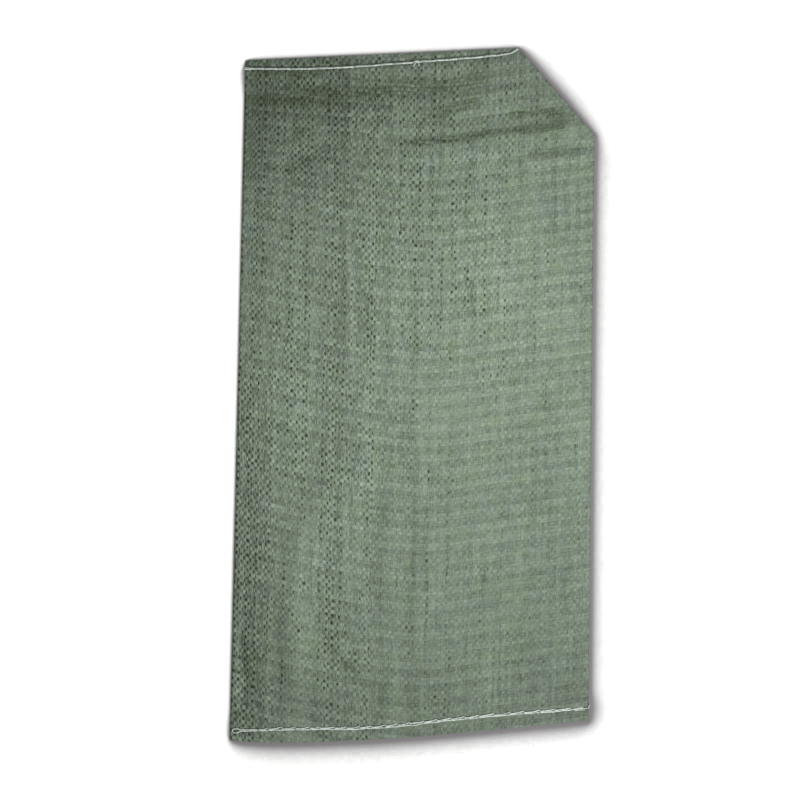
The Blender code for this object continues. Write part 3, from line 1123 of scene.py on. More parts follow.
# Painted light and shade on the front ply: soft lighter and darker patches of tone.
PAINTED_LIGHT_AND_SHADE = (
    PaintedPatch(-0.155, 0.160, 0.030, 0.055, -0.08),
    PaintedPatch(-0.110, -0.150, 0.025, 0.110, 0.05),
    PaintedPatch(-0.122, 0.170, 0.012, 0.090, -0.06),
    PaintedPatch(0.105, 0.135, 0.085, 0.100, 0.18),
    PaintedPatch(0.085, 0.334, 0.034, 0.012, 0.18),
    PaintedPatch(-0.060, 0.360, 0.120, 0.010, 0.12),
    PaintedPatch(-0.135, -0.210, 0.010, 0.050, 0.06),
    PaintedPatch(-0.120, 0.130, 0.080, 0.110, -0.02),
    PaintedPatch(0.120, -0.150, 0.090, 0.260, 0.03),
    PaintedPatch(-0.192, -0.320, 0.010, 0.045, 0.22),
    PaintedPatch(-0.073, -0.280, 0.010, 0.030, 0.14),
    PaintedPatch(-0.091, -0.220, 0.012, 0.140, 0.15),
    PaintedPatch(-0.047, -0.220, 0.014, 0.150, 0.08),
    PaintedPatch(-0.135, -0.335, 0.010, 0.025, -0.14),
)


@dataclass(frozen=True)
class WearAndPaintedLight:
    """Where the weave is open, where its tapes are lighter or darker, and where light and shade are painted
    into its tone.
    """

    pattern: Pattern
    half_flat: float = 0.202
    painted_fold_shade: float = 0.30
    painted_fold_shade_run: float = 0.0013
    least_open: float = 0.12
    open_drift: Drift = Drift(0.30, 0.05, 2.2)
    open_bands: Drift = Drift(0.2, 0.012, 8.1)
    band_length: float = 5.0
    tight_band: Stripe = Stripe(-0.128, 0.028, 1.0)
    most: float = 1.3
    stripes: tuple[Stripe, ...] = (
        Stripe(-0.1585, 0.0050, 0.10),
        Stripe(-0.1360, 0.0060, 0.06),
        Stripe(-0.1240, 0.0140, 0.06, 0.06),
        Stripe(-0.1240, 0.0050, 0.08, 0.06),
        Stripe(-0.1060, 0.0040, -0.06),
        Stripe(-0.0860, 0.0050, -0.12),
        Stripe(-0.0740, 0.0045, 0.06),
        Stripe(-0.0730, 0.0100, -0.05),
        Stripe(-0.0510, 0.0080, 0.06),
        Stripe(-0.0340, 0.0045, -0.10),
        Stripe(-0.0170, 0.0070, 0.07),
        Stripe(0.0000, 0.0040, -0.07),
        Stripe(0.0900, 0.0040, 0.06),
        Stripe(0.1380, 0.0050, -0.06),
    )

    def mark(self, mesh: bpy.types.Mesh, x: np.ndarray, y: np.ndarray, level: np.ndarray) -> None:
        """Stores the wear and the painted light and shade on the sack's mesh.

        Args:
            mesh: The sack's mesh.
            x: X of each point on the flat tube.
            y: Y of each point on the flat tube.
            level: Level of each point, from 1 in front to -1 behind.
        """
        across = (self.pattern.across(x, y) * 2 - 1) * self.half_flat
        places = {Way.X: x, Way.Y: y, Way.ACROSS: across}
        front = (1 + level) / 2
        tone = 1 + sum(stripe.tone(across, y) for stripe in self.stripes)
        tone += front * sum(patch.tone(x, y) for patch in PAINTED_LIGHT_AND_SHADE)
        for zone in PAINTED_SHADE:
            tone *= 1 + zone.at(places)
        # Painted shade along both side folds.
        tone *= 1 - self.painted_fold_shade * np.exp(-((self.pattern.from_side(x, y) / self.painted_fold_shade_run) ** 2))
        crease_shade = front * sum(line.relief(x, y) for line in PAINTED_CREASE_SHADE)
        openness = self.least_open + sum(zone.at(places) for zone in OPENED)
        openness += self.open_drift.at(x, y) + self.open_bands.at(across, y / self.band_length)
        openness -= self.tight_band.tone(across, y) * sum(zone.at(places) for zone in TIGHTENED)
        for name, values in (("tone", tone), ("open", openness), ("crease_shade", crease_shade)):
            made = mesh.attributes.new(name, "FLOAT", "POINT")
            made.data.foreach_set("value", np.clip(values, 0.0, self.most).astype(np.float32))


@dataclass
class WovenSack:
    """One tube of woven tape cloth, pressed flat, its upper right corner pushed in between the plies."""

    pattern: Pattern
    lie: Lie
    wear_and_painted_light: WearAndPaintedLight
    front_columns: int = 150
    back_columns: int = 60
    fold_columns: int = 6
    fold_radius: float = 0.0004
    flat_half: float = 0.001
    flap_share: float = 0.5
    narrow_run: float = 0.1
    straighter: float = 0.7
    straight_top: Ramp = Ramp(Way.Y, 0.17, 0.33)
    bow_middle: float = 0.011
    edge_margin: float = 0.012
    edge_steps: tuple[float, ...] = (0.08, 0.25, 0.55, 1.0)
    seam_steps: tuple[float, ...] = (0.0, 0.0012, 0.0028, 0.005, 0.008, 0.011, 0.0145, 0.018, 0.022)
    top_steps: Place = (0.0253, 0.135, 0.0033)
    bottom_steps: Place = (0.026, 0.080, 0.0042)
    middle_rows: int = 112
    hem_steps: tuple[float, ...] = (1.0, 0.94, 0.70, 0.45, 0.2)
    ragged: Drift = Drift(0.00035, 0.0021, 1.7)
    ragged_apart: float = 0.05
    slack: Drift = Drift(0.0006, 0.060, 5.2)
    slack_apart: float = 0.02
    slack_ends: float = 3.0
    trim: float = 0.0002
    corner_run: float = 0.0165
    corner_rise: float = 0.0042
    corner_back: float = 0.35
    weld: float = 0.000005
    fold_spread: float = 0.02
    fold_half: float = 0.00068
    smooth_angle: float = math.radians(50)
    bow: Line = Line(
        (
            (-0.2020, 0.0353), (-0.1690, 0.0280), (-0.1240, 0.0184), (-0.0790, 0.0096), (-0.0565, 0.0059),
            (-0.0340, 0.0030), (-0.0110, 0.0007), (0.0110, 0.0000), (0.0340, 0.0018), (0.0560, 0.0050),
            (0.1010, 0.0118), (0.1470, 0.0184), (0.2020, 0.0272),
        )
    )
    fold_cuts: tuple[float, ...] = (-0.0030, -0.0014, -0.0007, 0.0, 0.0007, 0.0014, 0.0030)

    def build(self) -> bpy.types.Object:
        """Builds the sack's mesh.

        Returns:
            The finished object, without a material.
        """
        sack = self.flat_tube()
        self.cut_for_fold(sack)
        self.lay_down(sack)
        self.give_wall(sack)
        return sack

    def ring(self) -> tuple[np.ndarray, np.ndarray, np.ndarray]:
        """Lays out one ring of the tube's points, from the left fold over the front and back under the rear.

        Returns:
            For each point: its share across the ply, its offset in X, and its level: 1 in front, -1 behind.
        """
        turn = np.pi * np.arange(self.fold_columns + 1) / self.fold_columns
        half = self.fold_columns // 2
        bits = [
            self.bend(0.0, turn[half::-1]),
            self.ply(self.front_columns, 1.0),
            self.bend(1.0, turn),
            [part[::-1] for part in self.ply(self.back_columns, -1.0)],
            self.bend(0.0, turn[: half - 1 : -1]),
        ]
        share, offset, level = (np.concatenate(part) for part in zip(*bits))
        return share, offset, level

    def bend(self, share: float, turn: np.ndarray) -> list[np.ndarray]:
        """Lays out the points around a side fold.

        Args:
            share: 0 for the left fold, 1 for the right one.
            turn: The angle of each point, 0 in front and a half turn behind.

        Returns:
            Share, offset and level of each point.
        """
        inward = self.fold_radius * (1 - 2 * share)
        return [np.full(len(turn), share), inward * (1 - np.sin(turn)), np.cos(turn)]

    def ply(self, columns: int, level: float) -> list[np.ndarray]:
        """Lays out the points across one ply, closer together at its sides.

        Args:
            columns: How many.
            level: 1 for the front ply, -1 for the back one.

        Returns:
            Share, offset and level of each point.
        """
        edge = self.edge_margin * np.array(self.edge_steps)
        middle = np.linspace(self.edge_margin, 1 - self.edge_margin, columns - 2 * len(edge) + 1)[1:-1]
        share = np.concatenate([edge, middle, 1 - edge[::-1]])
        return [share, np.zeros(len(share)), np.full(len(share), level)]

    def rows(self, x: np.ndarray, level: np.ndarray) -> np.ndarray:
        """Places every row of the cloth's grid, following the stitching near both ends.

        Args:
            x: X of each column.
            level: Level of each column.

        Returns:
            Y for each column and row.
        """
        low, high = self.pattern.seam(End.BOTTOM, x), self.pattern.seam(End.TOP, x)
        bottom_in = np.concatenate([self.seam_steps, np.arange(*self.bottom_steps)])
        top_in = np.concatenate([self.seam_steps, np.arange(*self.top_steps)])
        span = (high - low)[:, None]
        middle = np.linspace(0.0, 1.0, self.middle_rows)[1:-1]
        first, last = bottom_in[-1], top_in[-1]
        between = low[:, None] + first + middle * (span - first - last)
        hems = np.array(self.hem_steps)
        bottom_hem = low - self.cut_end(x, level, End.BOTTOM)
        top_hem = self.cut_end(x, level, End.TOP) - high
        parts = [
            low[:, None] - bottom_hem[:, None] * hems,
            low[:, None] + bottom_in,
            between,
            high[:, None] - top_in[::-1],
            high[:, None] + top_hem[:, None] * hems[::-1],
        ]
        return np.concatenate(parts, axis=1)

    def cut_end(self, x: np.ndarray, level: np.ndarray, end: End) -> np.ndarray:
        """Works out the ragged, slightly unlike ends of the two plies.

        Args:
            x: X of each column.
            level: Level of each column.
            end: The end.

        Returns:
            Y of each column's end.
        """
        cut = self.pattern.top_cut if end is End.TOP else self.pattern.bottom_cut
        way, front = end.value, (1 + level) / 2
        ragged = self.ragged.at(x, level * self.ragged_apart + way)
        slack = self.slack.at(x, level * self.slack_apart + way * self.slack_ends)
        made = cut.at(x) + way * (ragged + slack * (1 - front) - self.trim)
        if end is End.BOTTOM:
            left = self.pattern.left_fold.points[0][1]
            run = np.clip((x - left) / self.corner_run, 0.0, 1.0)
            corner = self.corner_rise * (1 - np.sqrt(1 - (1 - run) ** 2))
            made = made + corner * (self.corner_back + (1 - self.corner_back) * front)
        return made

    def flat_tube(self) -> bpy.types.Object:
        """Makes the tube pressed flat, before its corner is pushed in.

        Returns:
            The tube, one wall thick, with its weave's map.
        """
        share, offset, level = self.ring()
        left, right = self.pattern.left_fold.points[0][1], self.pattern.right_fold.points[0][1]
        guess = self.rows(left + share * (right - left), level)
        left, right = self.pattern.folds(guess)
        x = left + share[:, None] * (right - left) + offset[:, None]
        y = np.stack([self.rows(x[:, k], level)[:, k] for k in range(x.shape[1])], axis=1)
        columns, rows = x.shape
        bpy.ops.object.select_all(action="DESELECT")
        bpy.ops.mesh.primitive_grid_add(x_subdivisions=columns - 1, y_subdivisions=rows - 1, size=1.0)
        tube = bpy.context.object
        tube.name = tube.data.name = "woven_sack"
        mesh = tube.data
        place = numbers(mesh.vertices, "co", 3)
        i = np.rint((place[:, 0] + 0.5) * (columns - 1)).astype(int)
        j = np.rint((place[:, 1] + 0.5) * (rows - 1)).astype(int)
        flat = np.stack([x[i, j], y[i, j], self.flat_half * level[i]], axis=1)
        mesh.vertices.foreach_set("co", flat.astype(np.float32).ravel())
        around = self.warp_count(share, level)
        straighter = 1 - self.straighter * self.straight_top.share(y) * (x < self.bow_middle)
        along = (y - self.bow.at(x) * straighter) / WEFT_PITCH
        while mesh.uv_layers:
            mesh.uv_layers.remove(mesh.uv_layers[0])
        layer = mesh.uv_layers.new(name=CLOTH_MAP, do_init=False)
        corner = np.empty(len(mesh.loops), np.int32)
        mesh.loops.foreach_get("vertex_index", corner)
        counts = np.stack([around[i[corner]], along[i[corner], j[corner]]], axis=1)
        layer.uv.foreach_set("vector", counts.astype(np.float32).ravel())
        select_only(tube)
        bpy.ops.object.mode_set(mode="EDIT")
        bpy.ops.mesh.select_all(action="SELECT")
        bpy.ops.mesh.remove_doubles(threshold=self.weld)
        bpy.ops.object.mode_set(mode="OBJECT")
        return tube

    def warp_count(self, share: np.ndarray, level: np.ndarray) -> np.ndarray:
        """Counts the warp tapes around the tube, from the left fold over the front and back under the rear.

        Args:
            share: Share across the ply of each column.
            level: Level of each column.

        Returns:
            The count at each column. The tapes are narrower at the front's left.
        """
        narrow = NARROW_TAPES * (1 - np.exp(-share / self.narrow_run)) / (1 - math.exp(-1 / self.narrow_run))
        around = np.where(level >= 0, share * (WARP_TAPES - NARROW_TAPES) + narrow, (2 - share) * WARP_TAPES)
        half = self.fold_columns // 2
        around[:half] = 0.0
        around[-half:] = 2 * WARP_TAPES
        return around

    def cut_for_fold(self, tube: bpy.types.Object) -> None:
        """Cuts new edges through both plies along the corner's fold.

        Args:
            tube: The flat tube.
        """
        point, _, outward = self.pattern.valve_fold()
        select_only(tube)
        bpy.ops.object.mode_set(mode="EDIT")
        for cut in self.fold_cuts:
            place = point + cut * outward
            bpy.ops.mesh.select_all(action="SELECT")
            bpy.ops.mesh.bisect(plane_co=(*place, 0.0), plane_no=(*outward, 0.0), threshold=0.00002)
        bpy.ops.object.mode_set(mode="OBJECT")

    def lay_down(self, tube: bpy.types.Object) -> None:
        """Gives the flat tube its height and pushes its corner in.

        Args:
            tube: The flat tube.
        """
        mesh = tube.data
        place = numbers(mesh.vertices, "co", 3)
        x, y, level = place[:, 0], place[:, 1], place[:, 2] / self.flat_half
        self.wear_and_painted_light.mark(mesh, x, y, level)
        point, _, outward = self.pattern.valve_fold()
        past = (x - point[0]) * outward[0] + (y - point[1]) * outward[1]
        inside_x = np.where(past > 0, x - 2 * past * outward[0], x)
        inside_y = np.where(past > 0, y - 2 * past * outward[1], y)
        low = self.lie.underside(inside_x, inside_y)
        high = self.lie.topside(inside_x, inside_y)
        middle, half = (high + low) / 2, (high - low) / 2
        half = np.where(np.abs(past) < self.fold_spread, np.maximum(half, self.fold_half), half)
        radius = np.maximum(np.abs(level) * (1 - self.flap_share) * half / 2, 1e-9)
        turn = np.clip((past + np.pi * radius / 2) / radius, 0.0, np.pi)
        bent = -np.pi * radius / 2 + radius * np.sin(turn)
        reach = np.where(turn <= 0, past, np.where(turn >= np.pi, -past, bent))
        drop = radius * (1 - np.cos(turn))
        height = middle + np.sign(level) * (np.abs(level) * half - drop)
        shift = reach - past
        laid = np.stack([x + shift * outward[0], y + shift * outward[1], height], axis=1)
        mesh.vertices.foreach_set("co", laid.astype(np.float32).ravel())
        mesh.update()

    def give_wall(self, sack: bpy.types.Object) -> None:
        """Gives the cloth its thickness and smooth shading.

        Args:
            sack: The cloth, laid down.
        """
        select_only(sack)
        wall = sack.modifiers.new("wall", "SOLIDIFY")
        wall.thickness = WALL
        wall.offset = 0.0
        bpy.ops.object.modifier_apply(modifier=wall.name)
        bpy.ops.object.shade_smooth_by_angle(angle=self.smooth_angle)

    def dress(self, sack: bpy.types.Object, finish: bpy.types.Material) -> None:
        """Puts the finish on the sack and ties it to the frame."""
        sack.data.materials.clear()
        sack.data.materials.append(finish)
        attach(sack, ROOT_BODY)
        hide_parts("sack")


@dataclass(frozen=True)
class Tail:
    """A loose end on the front. A place is X, distance from the seam's line and height in thread radii."""

    places: tuple[Place, ...]
    thickness: float = 1.0


@dataclass
class ChainSeam:
    """One thread sewn through both plies: straight stitches on one face, a chain of loops on the other."""

    name: str
    end: End
    lie: Lie
    loops_on: Ply
    seed: int
    lead_in: tuple[Place, ...] = ()
    lead_out: tuple[Place, ...] = ()
    tails: tuple[Tail, ...] = ()
    loose: tuple[int, ...] = ()
    radius: float = 0.00070
    waist: float = 0.00060
    loose_waist: float = 2.2
    wander: float = 0.0003
    press: float = 0.62
    eye_up: float = 0.0018
    eye_down: float = 0.0008
    eye_length: float = 0.0062
    tip: float = 0.0018
    step: float = 0.0006
    lay: float = 0.0045
    sides: int = 12
    strands_in_thread: int = 3
    strand_relief: float = 0.13
    weld: float = 0.000002
    smooth_angle: float = math.radians(60)

    def over(self, face: Ply, s: float, t: float, layer: float) -> list[float]:
        """Finds a place on the hem's outer face.

        Args:
            face: The ply whose outer face the thread lies on.
            s: X along the seam.
            t: Distance up the picture from the seam's line.
            layer: How many thread radii its middle lies off the cloth.

        Returns:
            X, Y and Z.
        """
        x = np.array([s])
        y = self.lie.pattern.seam(self.end, x) + t
        level = self.lie.topside(x, y) if face is Ply.FRONT else self.lie.underside(x, y)
        return [float(x[0]), float(y[0]), float(level[0]) + face.value * (WALL / 2 + layer * self.radius)]

    def route(self) -> np.ndarray:
        """Works out the whole thread's route, stitch by stitch.

        Returns:
            The points along it.
        """
        chance = np.random.default_rng(self.seed)
        loops, plain = self.loops_on, Ply.BACK if self.loops_on is Ply.FRONT else Ply.FRONT
        points: list[list[float]] = []
        holes = self.lie.stitches[self.end]
        for i, (here, there) in enumerate(zip(holes[:-1], holes[1:])):
            points += [self.over(loops, *place) for place in self.loop_stitch(i, here, there, chance)]
            points += [self.over(plain, *place) for place in self.straight_stitch(here, there, chance)]
        start = [self.over(Ply.FRONT, *place) for place in self.lead_in]
        end = [self.over(Ply.FRONT, *place) for place in self.lead_out]
        return smooth_route(np.array(start + points + end), self.step)

    def loop_stitch(
        self, i: int, here: float, there: float, chance: np.random.Generator
    ) -> tuple[Place, ...]:
        """Lays one loop of the chain: out along one leg, around the next needle hole and back.

        Args:
            i: The stitch's number.
            here: X of its needle hole.
            there: X of the next needle hole.
            chance: Where its small unevenness comes from.

        Returns:
            Places as X, distance from the seam's line and height in thread radii.
        """
        up = self.eye_up * chance.uniform(0.75, 1.25)
        down = self.eye_down * chance.uniform(0.7, 1.3)
        lean = chance.uniform(-self.wander, self.wander)
        waist = self.waist * (self.loose_waist if i in self.loose else chance.uniform(0.95, 1.2))
        middle, tip = here + 0.45 * (there - here), there + self.tip
        return (
            (here - 0.0003, -0.0002, 0.2),
            (here + 0.0012, -waist, 2.2),
            (here + 0.0032, -waist, 2.0),
            (middle, -waist + lean, 1.0),
            (there - 0.55 * self.eye_length, -0.8 * down + lean, 1.0),
            (there - 0.0002, -down, 1.0),
            (tip - 0.0004, -0.55 * down, 0.9),
            (tip, 0.1 * up, 0.9),
            (tip - 0.0006, 0.75 * up, 0.9),
            (there - 0.0004, up, 1.0),
            (there - 0.5 * self.eye_length, 0.7 * up + lean, 1.0),
            (middle, waist + lean, 1.0),
            (here + 0.0032, waist, 2.0),
            (here + 0.0012, waist, 2.2),
            (here + 0.0003, 0.0002, 0.2),
        )

    def straight_stitch(self, here: float, there: float, chance: np.random.Generator) -> tuple[Place, ...]:
        """Lays the straight stitch on the other face, from one needle hole to the next.

        Args:
            here: X of the needle hole.
            there: X of the next one.
            chance: Where its small unevenness comes from.

        Returns:
            Places as X, distance from the seam's line and height in thread radii.
        """
        return (
            (here + 0.0005, 0.0, 0.1),
            (here + 0.0022, 0.0, 1.0),
            (here + 0.5 * (there - here), chance.uniform(-self.wander, self.wander), 1.25),
            (there - 0.0020, 0.0, 1.0),
            (there - 0.0005, 0.0, 0.1),
        )

    def profile(self) -> bpy.types.Object:
        """Makes the thread's section: three strands laid together.

        Returns:
            A closed curve to sweep along the route.
        """
        curve = bpy.data.curves.new("thread section", "CURVE")
        curve.dimensions = "2D"
        spline = curve.splines.new("POLY")
        spline.points.add(self.sides - 1)
        for k, point in enumerate(spline.points):
            angle = 2 * math.pi * k / self.sides
            size = self.radius * (1 + self.strand_relief * math.cos(self.strands_in_thread * angle))
            point.co = (size * math.cos(angle), size * math.sin(angle), 0.0, 1.0)
        spline.use_cyclic_u = True
        made = bpy.data.objects.new("thread section", curve)
        bpy.context.scene.collection.objects.link(made)
        return made

    def build(self) -> bpy.types.Object:
        """Sweeps the thread along its route.

        Returns:
            The finished object, without a material.
        """
        section = self.profile()
        curve = bpy.data.curves.new(self.name, "CURVE")
        curve.dimensions = "3D"
        curve.bevel_mode = "OBJECT"
        curve.bevel_object = section
        curve.use_fill_caps = True
        for line, scale in self.strands():
            spline = curve.splines.new("POLY")
            spline.points.add(len(line) - 1)
            along = np.arange(len(line)) * self.step
            for point, place, s in zip(spline.points, line, along):
                point.co = (*place, 1.0)
                point.tilt = 2 * math.pi * s / self.lay
                point.radius = scale
        thread = bpy.data.objects.new(self.name, curve)
        bpy.context.scene.collection.objects.link(thread)
        select_only(thread)
        bpy.ops.object.convert(target="MESH")
        thread = bpy.context.object
        bpy.data.objects.remove(section)
        bpy.ops.object.mode_set(mode="EDIT")
        bpy.ops.mesh.select_all(action="SELECT")
        bpy.ops.mesh.remove_doubles(threshold=self.weld)
        bpy.ops.mesh.normals_make_consistent(inside=False)
        bpy.ops.object.mode_set(mode="OBJECT")
        self.press_flat(thread.data)
        bpy.ops.object.shade_smooth_by_angle(angle=self.smooth_angle)
        return thread

    def press_flat(self, mesh: bpy.types.Mesh) -> None:
        """Squeezes the thread against the faces it lies on, as its tension does.

        Args:
            mesh: The swept thread.
        """
        place = numbers(mesh.vertices, "co", 3)
        top = self.lie.topside(place[:, 0], place[:, 1]) + WALL / 2
        bottom = self.lie.underside(place[:, 0], place[:, 1]) - WALL / 2
        above = np.maximum(place[:, 2] - top, 0.0)
        below = np.maximum(bottom - place[:, 2], 0.0)
        place[:, 2] -= (1 - self.press) * (above - below)
        mesh.vertices.foreach_set("co", place.astype(np.float32).ravel())
        mesh.update()

    def strands(self) -> list[tuple[np.ndarray, float]]:
        """The lines to sweep, each with its share of the full thickness."""
        made = [(self.route(), 1.0)]
        for tail in self.tails:
            places = [self.over(Ply.FRONT, *place) for place in tail.places]
            made.append((smooth_route(np.array(places), self.step), tail.thickness))
        return made

    def dress(self, thread: bpy.types.Object, finish: bpy.types.Material) -> None:
        """Puts the finish on the thread and ties it to the frame."""
        thread.data.materials.clear()
        thread.data.materials.append(finish)
        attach(thread, ROOT_BODY)
        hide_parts(self.name)


class LampKind(Enum):
    """What a lamp is: a soft square, or a soft-edged spot."""

    SQUARE = "AREA"
    SPOT = "SPOT"


@dataclass(frozen=True)
class Lamp:
    """A lamp that points at a place. The size is a square's side or a spot's radius."""

    name: str
    kind: LampKind
    place: Place
    aim: Place
    size: float
    power: float
    colour: Place
    half_angle: float = 0.0

    def hang(self) -> None:
        """Adds the lamp to the scene."""
        light = bpy.data.lights.new(self.name, self.kind.value)
        light.energy = self.power
        light.color = self.colour
        if self.kind is LampKind.SPOT:
            light.spot_size = 2 * self.half_angle
            light.spot_blend = 1.0
            light.shadow_soft_size = self.size
        else:
            light.size = self.size
        lamp = bpy.data.objects.new(self.name, light)
        lamp.location = self.place
        toward = Vector(self.aim) - Vector(self.place)
        lamp.rotation_euler = toward.to_track_quat("-Z", "Y").to_euler()
        bpy.context.scene.collection.objects.link(lamp)


OVERHEAD_LAMP = Lamp(
    "overhead lamp", LampKind.SQUARE, (0.005, 0.062, 0.553), (0.005, 0.062, 0.0), 0.20, 2.06, (1.0, 1.0, 0.96)
)
# It is aimed past the sack, so that its light is nearly even there.
RAKING_LAMP = Lamp(
    "raking lamp",
    LampKind.SPOT,
    (2.012, -2.012, 0.95),
    (-0.131, 1.5, 0.0),
    0.50,
    744.0,
    (0.98, 1.0, 1.0),
    math.radians(40.1),
)


@dataclass
class Studio:
    """A lit pale table, two soft lamps from the sack's right, and a camera that looks straight down."""

    centre: tuple[float, float] = (-0.0170, -0.0053)
    view_width: float = 0.9014
    roll: float = math.radians(-1.06)
    distance: float = 2.6
    sensor: float = 0.036
    lamps: tuple[Lamp, ...] = (OVERHEAD_LAMP, RAKING_LAMP)
    sky: float = 0.09
    sky_colour: Colour = (1.0, 1.0, 0.80, 1.0)
    floor_size: float = 60.0
    floor_drop: float = 0.00005
    floor_roughness: float = 0.9
    floor_specular: float = 0.1
    floor_colour: float = 0.55
    floor_glow: float = 0.90
    shade_reach: float = 0.060
    shade_depth: float = 26.0
    shade_rays: int = 48
    shade_lean: Place = (-0.460, 0.550, 0.697)
    shade_colour: Colour = (0.160, 0.150, 0.157, 1.0)
    clip: tuple[float, float] = (0.05, 30.0)

    def build(self) -> None:
        """Sets up the floor, the lamps, the sky and the camera."""
        self.make_floor()
        for lamp in self.lamps:
            lamp.hang()
        self.make_sky()
        self.make_camera()
        bpy.context.scene.view_settings.view_transform = "Standard"

    def make_floor(self) -> None:
        """A broad pale table that glows a little, as under cut-out pictures. Near the sack its colour and
        glow are darkened by a leaned ambient occlusion reading: a painted shadow.
        """
        bpy.ops.object.select_all(action="DESELECT")
        bpy.ops.mesh.primitive_plane_add(size=self.floor_size, location=(0.0, 0.0, -self.floor_drop))
        floor = bpy.context.object
        floor.name = "floor"
        made, w, shader = new_material("pale table")
        # Painted shadow: ambient occlusion, leaned toward -X and +Y, darkens the table near the sack.
        inputs = {"Distance": self.shade_reach, "Normal": w.joined(*self.shade_lean)}
        near = w.signal(w.node("ShaderNodeAmbientOcclusion", inputs, samples=self.shade_rays), "AO")
        shade = w.mix(w.math("POWER", near, self.shade_depth), self.shade_colour, (1.0, 1.0, 1.0, 1.0))
        w.feed(shader.inputs["Base Color"], w.scaled(shade, self.floor_colour))
        shader.inputs["Roughness"].default_value = self.floor_roughness
        shader.inputs["Specular IOR Level"].default_value = self.floor_specular
        w.feed(shader.inputs["Emission Color"], shade)
        shader.inputs["Emission Strength"].default_value = self.floor_glow
        floor.data.materials.append(made)

    def make_sky(self) -> None:
        """Even light from all around."""
        world = bpy.data.worlds.new("even light")
        world.use_nodes = True
        background = world.node_tree.nodes["Background"]
        background.inputs["Color"].default_value = self.sky_colour
        background.inputs["Strength"].default_value = self.sky
        bpy.context.scene.world = world

    def make_camera(self) -> None:
        """A camera over the sack, turned a little so that the sack leans to the right in the picture."""
        lens = bpy.data.cameras.new("camera")
        lens.sensor_width = self.sensor * 1000
        lens.lens = self.sensor * 1000 * self.distance / self.view_width
        lens.clip_start, lens.clip_end = self.clip
        camera = bpy.data.objects.new("camera", lens)
        camera.location = (*self.centre, self.distance)
        camera.rotation_euler = (0.0, 0.0, -self.roll)
        bpy.context.scene.collection.objects.link(camera)
        bpy.context.scene.camera = camera


TOP_RUN = (-0.1905, 0.1000)
TOP_PITCH = 0.0145
TOP_UNEVEN = 0.0007
TOP_HOLE_SEED, TOP_SEED, BOTTOM_SEED, FAN_SEED = 11, 21, 22, 23
TOP_RADIUS = 0.00110
LOOSE_STITCH = 12
FAN_COUNT = 8
FAN_SPREAD = 0.0019
FAN_REACH = 0.1965
FAN_THICKNESS = 0.42
TOP_FINISH = ThreadFinish("top sewing thread", (0.430, 0.475, 0.445, 1.0), (0.300, 0.345, 0.312, 1.0))
BOTTOM_FINISH = ThreadFinish("bottom sewing thread", (0.575, 0.630, 0.600, 1.0), (0.385, 0.440, 0.398, 1.0))
BOTTOM_HOLES = (
    -0.1700, -0.1589, -0.1442, -0.1285, -0.1127, -0.1014, -0.0845, -0.0710, -0.0569, -0.0429, -0.0271,
    -0.0139, 0.0010, 0.0160, 0.0303, 0.0465, 0.0615, 0.0772, 0.0943, 0.1123, 0.1281, 0.1461, 0.1630,
    0.1799,
)
BOTTOM_LEAD_IN = (
    (-0.1702, 0.0003, 0.4), (-0.1730, 0.0006, 1.0), (-0.1820, 0.0007, 1.0), (-0.1895, 0.0009, 1.0),
    (-0.1930, 0.0021, 1.0), (-0.1970, 0.0020, 1.0), (-0.1992, 0.0002, 1.0), (-0.1972, -0.0021, 1.0),
    (-0.1930, -0.0022, 1.0), (-0.1895, -0.0008, 1.0), (-0.1820, -0.0006, 1.0), (-0.1730, -0.0006, 1.0),
)
TOP_TAILS = (
    Tail(
        ((-0.1984, 0.0005, 0.9), (-0.1950, 0.0006, 1.0), (-0.1900, 0.0002, 1.0), (-0.1850, 0.0000, 1.4)),
        1.0,
    ),
    Tail(((-0.1986, -0.0006, 0.9), (-0.1950, -0.0006, 1.0), (-0.1912, -0.0003, 0.6)), 1.0),
    Tail(
        ((-0.0075, 0.0006, 2.0), (-0.0050, 0.0009, 2.8), (-0.0028, 0.0002, 2.6), (-0.0045, -0.0012, 2.0)),
        0.9,
    ),
    Tail(
        ((-0.0058, 0.0009, 2.6), (-0.0065, -0.0010, 2.2), (-0.0082, -0.0034, 1.2), (-0.0090, -0.0050, 1.0)),
        0.7,
    ),
    Tail(
        ((-0.0042, 0.0006, 2.6), (-0.0035, -0.0014, 2.0), (-0.0026, -0.0036, 1.2), (-0.0028, -0.0048, 1.0)),
        0.7,
    ),
)


def top_lead_out(last_hole: float) -> tuple[Place, ...]:
    """Runs the top thread's end from its last hole to the corner.

    Args:
        last_hole: X of the last needle hole.

    Returns:
        Places as X, distance from the seam's line and height in thread radii.
    """
    return (
        (last_hole + 0.0002, 0.0, 0.5),
        (last_hole + 0.0020, 0.0, 1.2),
        (0.5 * (last_hole + 0.1060), -0.0002, 1.3),
        (0.1030, 0.0006, 1.3), (0.1060, 0.0013, 1.3), (0.1080, 0.0022, 1.2),
    )


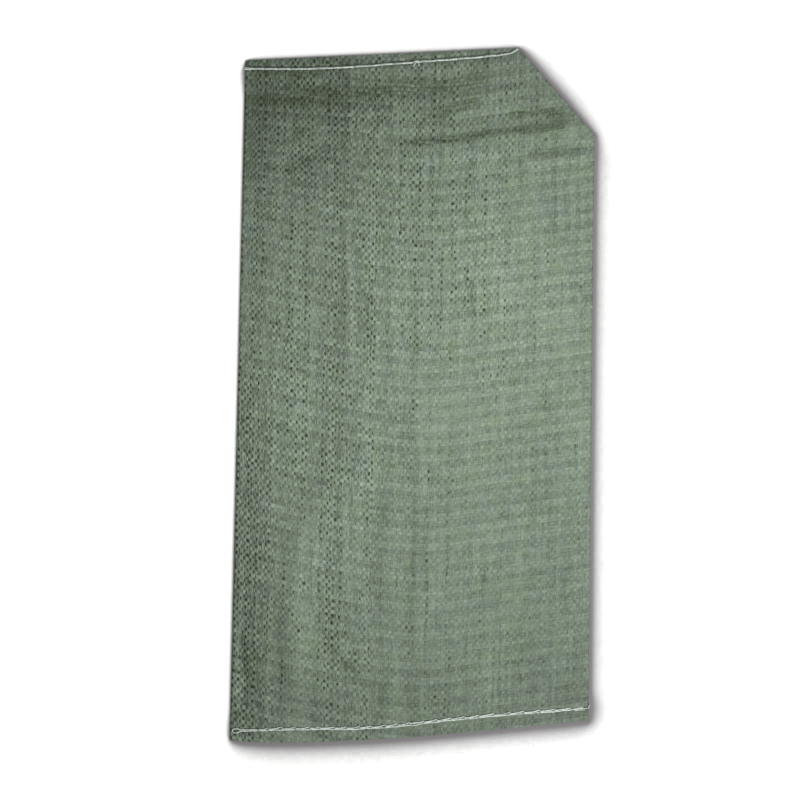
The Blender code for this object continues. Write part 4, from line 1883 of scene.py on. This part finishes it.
def bottom_fan(seed: int) -> tuple[Tail, ...]:
    """Spreads the bottom thread's untwisted end into filaments.

    Args:
        seed: Picks how they spread.

    Returns:
        A tail for each filament.
    """
    chance = np.random.default_rng(seed)
    start = BOTTOM_HOLES[-1]
    made = []
    for spread in np.linspace(-FAN_SPREAD, FAN_SPREAD, FAN_COUNT):
        reach = FAN_REACH + chance.uniform(-0.0025, 0.0025)
        bow = chance.uniform(-0.0006, 0.0006)
        middle = 0.5 * (start + reach)
        places = (
            (start + 0.0006, 0.2 * spread, 0.8),
            (start + 0.0045, 0.35 * spread, 1.0),
            (middle, 0.65 * spread + bow, 0.9),
            (reach, spread, 0.5),
        )
        made.append(Tail(places, FAN_THICKNESS))
    turned = (
        (start + 0.0008, 0.0, 1.2),
        (0.1900, 0.0003, 1.4), (0.1980, 0.0001, 1.2), (0.2014, 0.0006, 0.8), (0.2022, 0.0036, 0.8),
    )
    return (*made, Tail(turned, 0.6))


def needle_holes(first: float, last: float, pitch: float, uneven: float, seed: int) -> np.ndarray:
    """Spaces a seam's needle holes, with the small unevenness of a hand-fed machine.

    Args:
        first: X of the first hole.
        last: The holes stop at or before this X.
        pitch: The stitch length.
        uneven: How much longer or shorter a stitch may be.
        seed: Picks the unevenness.

    Returns:
        X of each hole.
    """
    chance = np.random.default_rng(seed)
    holes = [first]
    while holes[-1] < last:
        holes.append(holes[-1] + pitch + chance.uniform(-uneven, uneven))
    return np.array(holes[:-1])


def main() -> None:
    """Builds the sack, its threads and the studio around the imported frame."""
    logging.basicConfig(level=logging.INFO, format="%(name)s: %(message)s")
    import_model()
    pattern = Pattern()
    top_holes = needle_holes(*TOP_RUN, TOP_PITCH, TOP_UNEVEN, TOP_HOLE_SEED)
    lie = Lie(pattern, {End.TOP: top_holes, End.BOTTOM: np.array(BOTTOM_HOLES)})

    cloth = ClothFinish().material(TapeWeave().group(), Mottle().group())
    sack_maker = WovenSack(pattern, lie, WearAndPaintedLight(pattern))
    sack = sack_maker.build()
    sack_maker.dress(sack, cloth)
    LOG.info("%s: %d faces", sack.name, len(sack.data.polygons))

    seams = (
        ChainSeam(
            "top_seam_thread",
            End.TOP,
            lie,
            Ply.BACK,
            TOP_SEED,
            lead_out=top_lead_out(top_holes[-1]),
            tails=TOP_TAILS,
            radius=TOP_RADIUS,
        ),
        ChainSeam(
            "bottom_seam_thread",
            End.BOTTOM,
            lie,
            Ply.FRONT,
            BOTTOM_SEED,
            lead_in=BOTTOM_LEAD_IN,
            tails=bottom_fan(FAN_SEED),
            loose=(LOOSE_STITCH,),
        ),
    )
    yarn = SpunYarn().group()
    for seam, finish in zip(seams, (TOP_FINISH, BOTTOM_FINISH)):
        thread = seam.build()
        thread.name = f"{seam.name}_sewn"
        seam.dress(thread, finish.material(yarn))
        LOG.info("%s: %d faces", thread.name, len(thread.data.polygons))

    Studio().build()


if __name__ == "__main__":
    main()
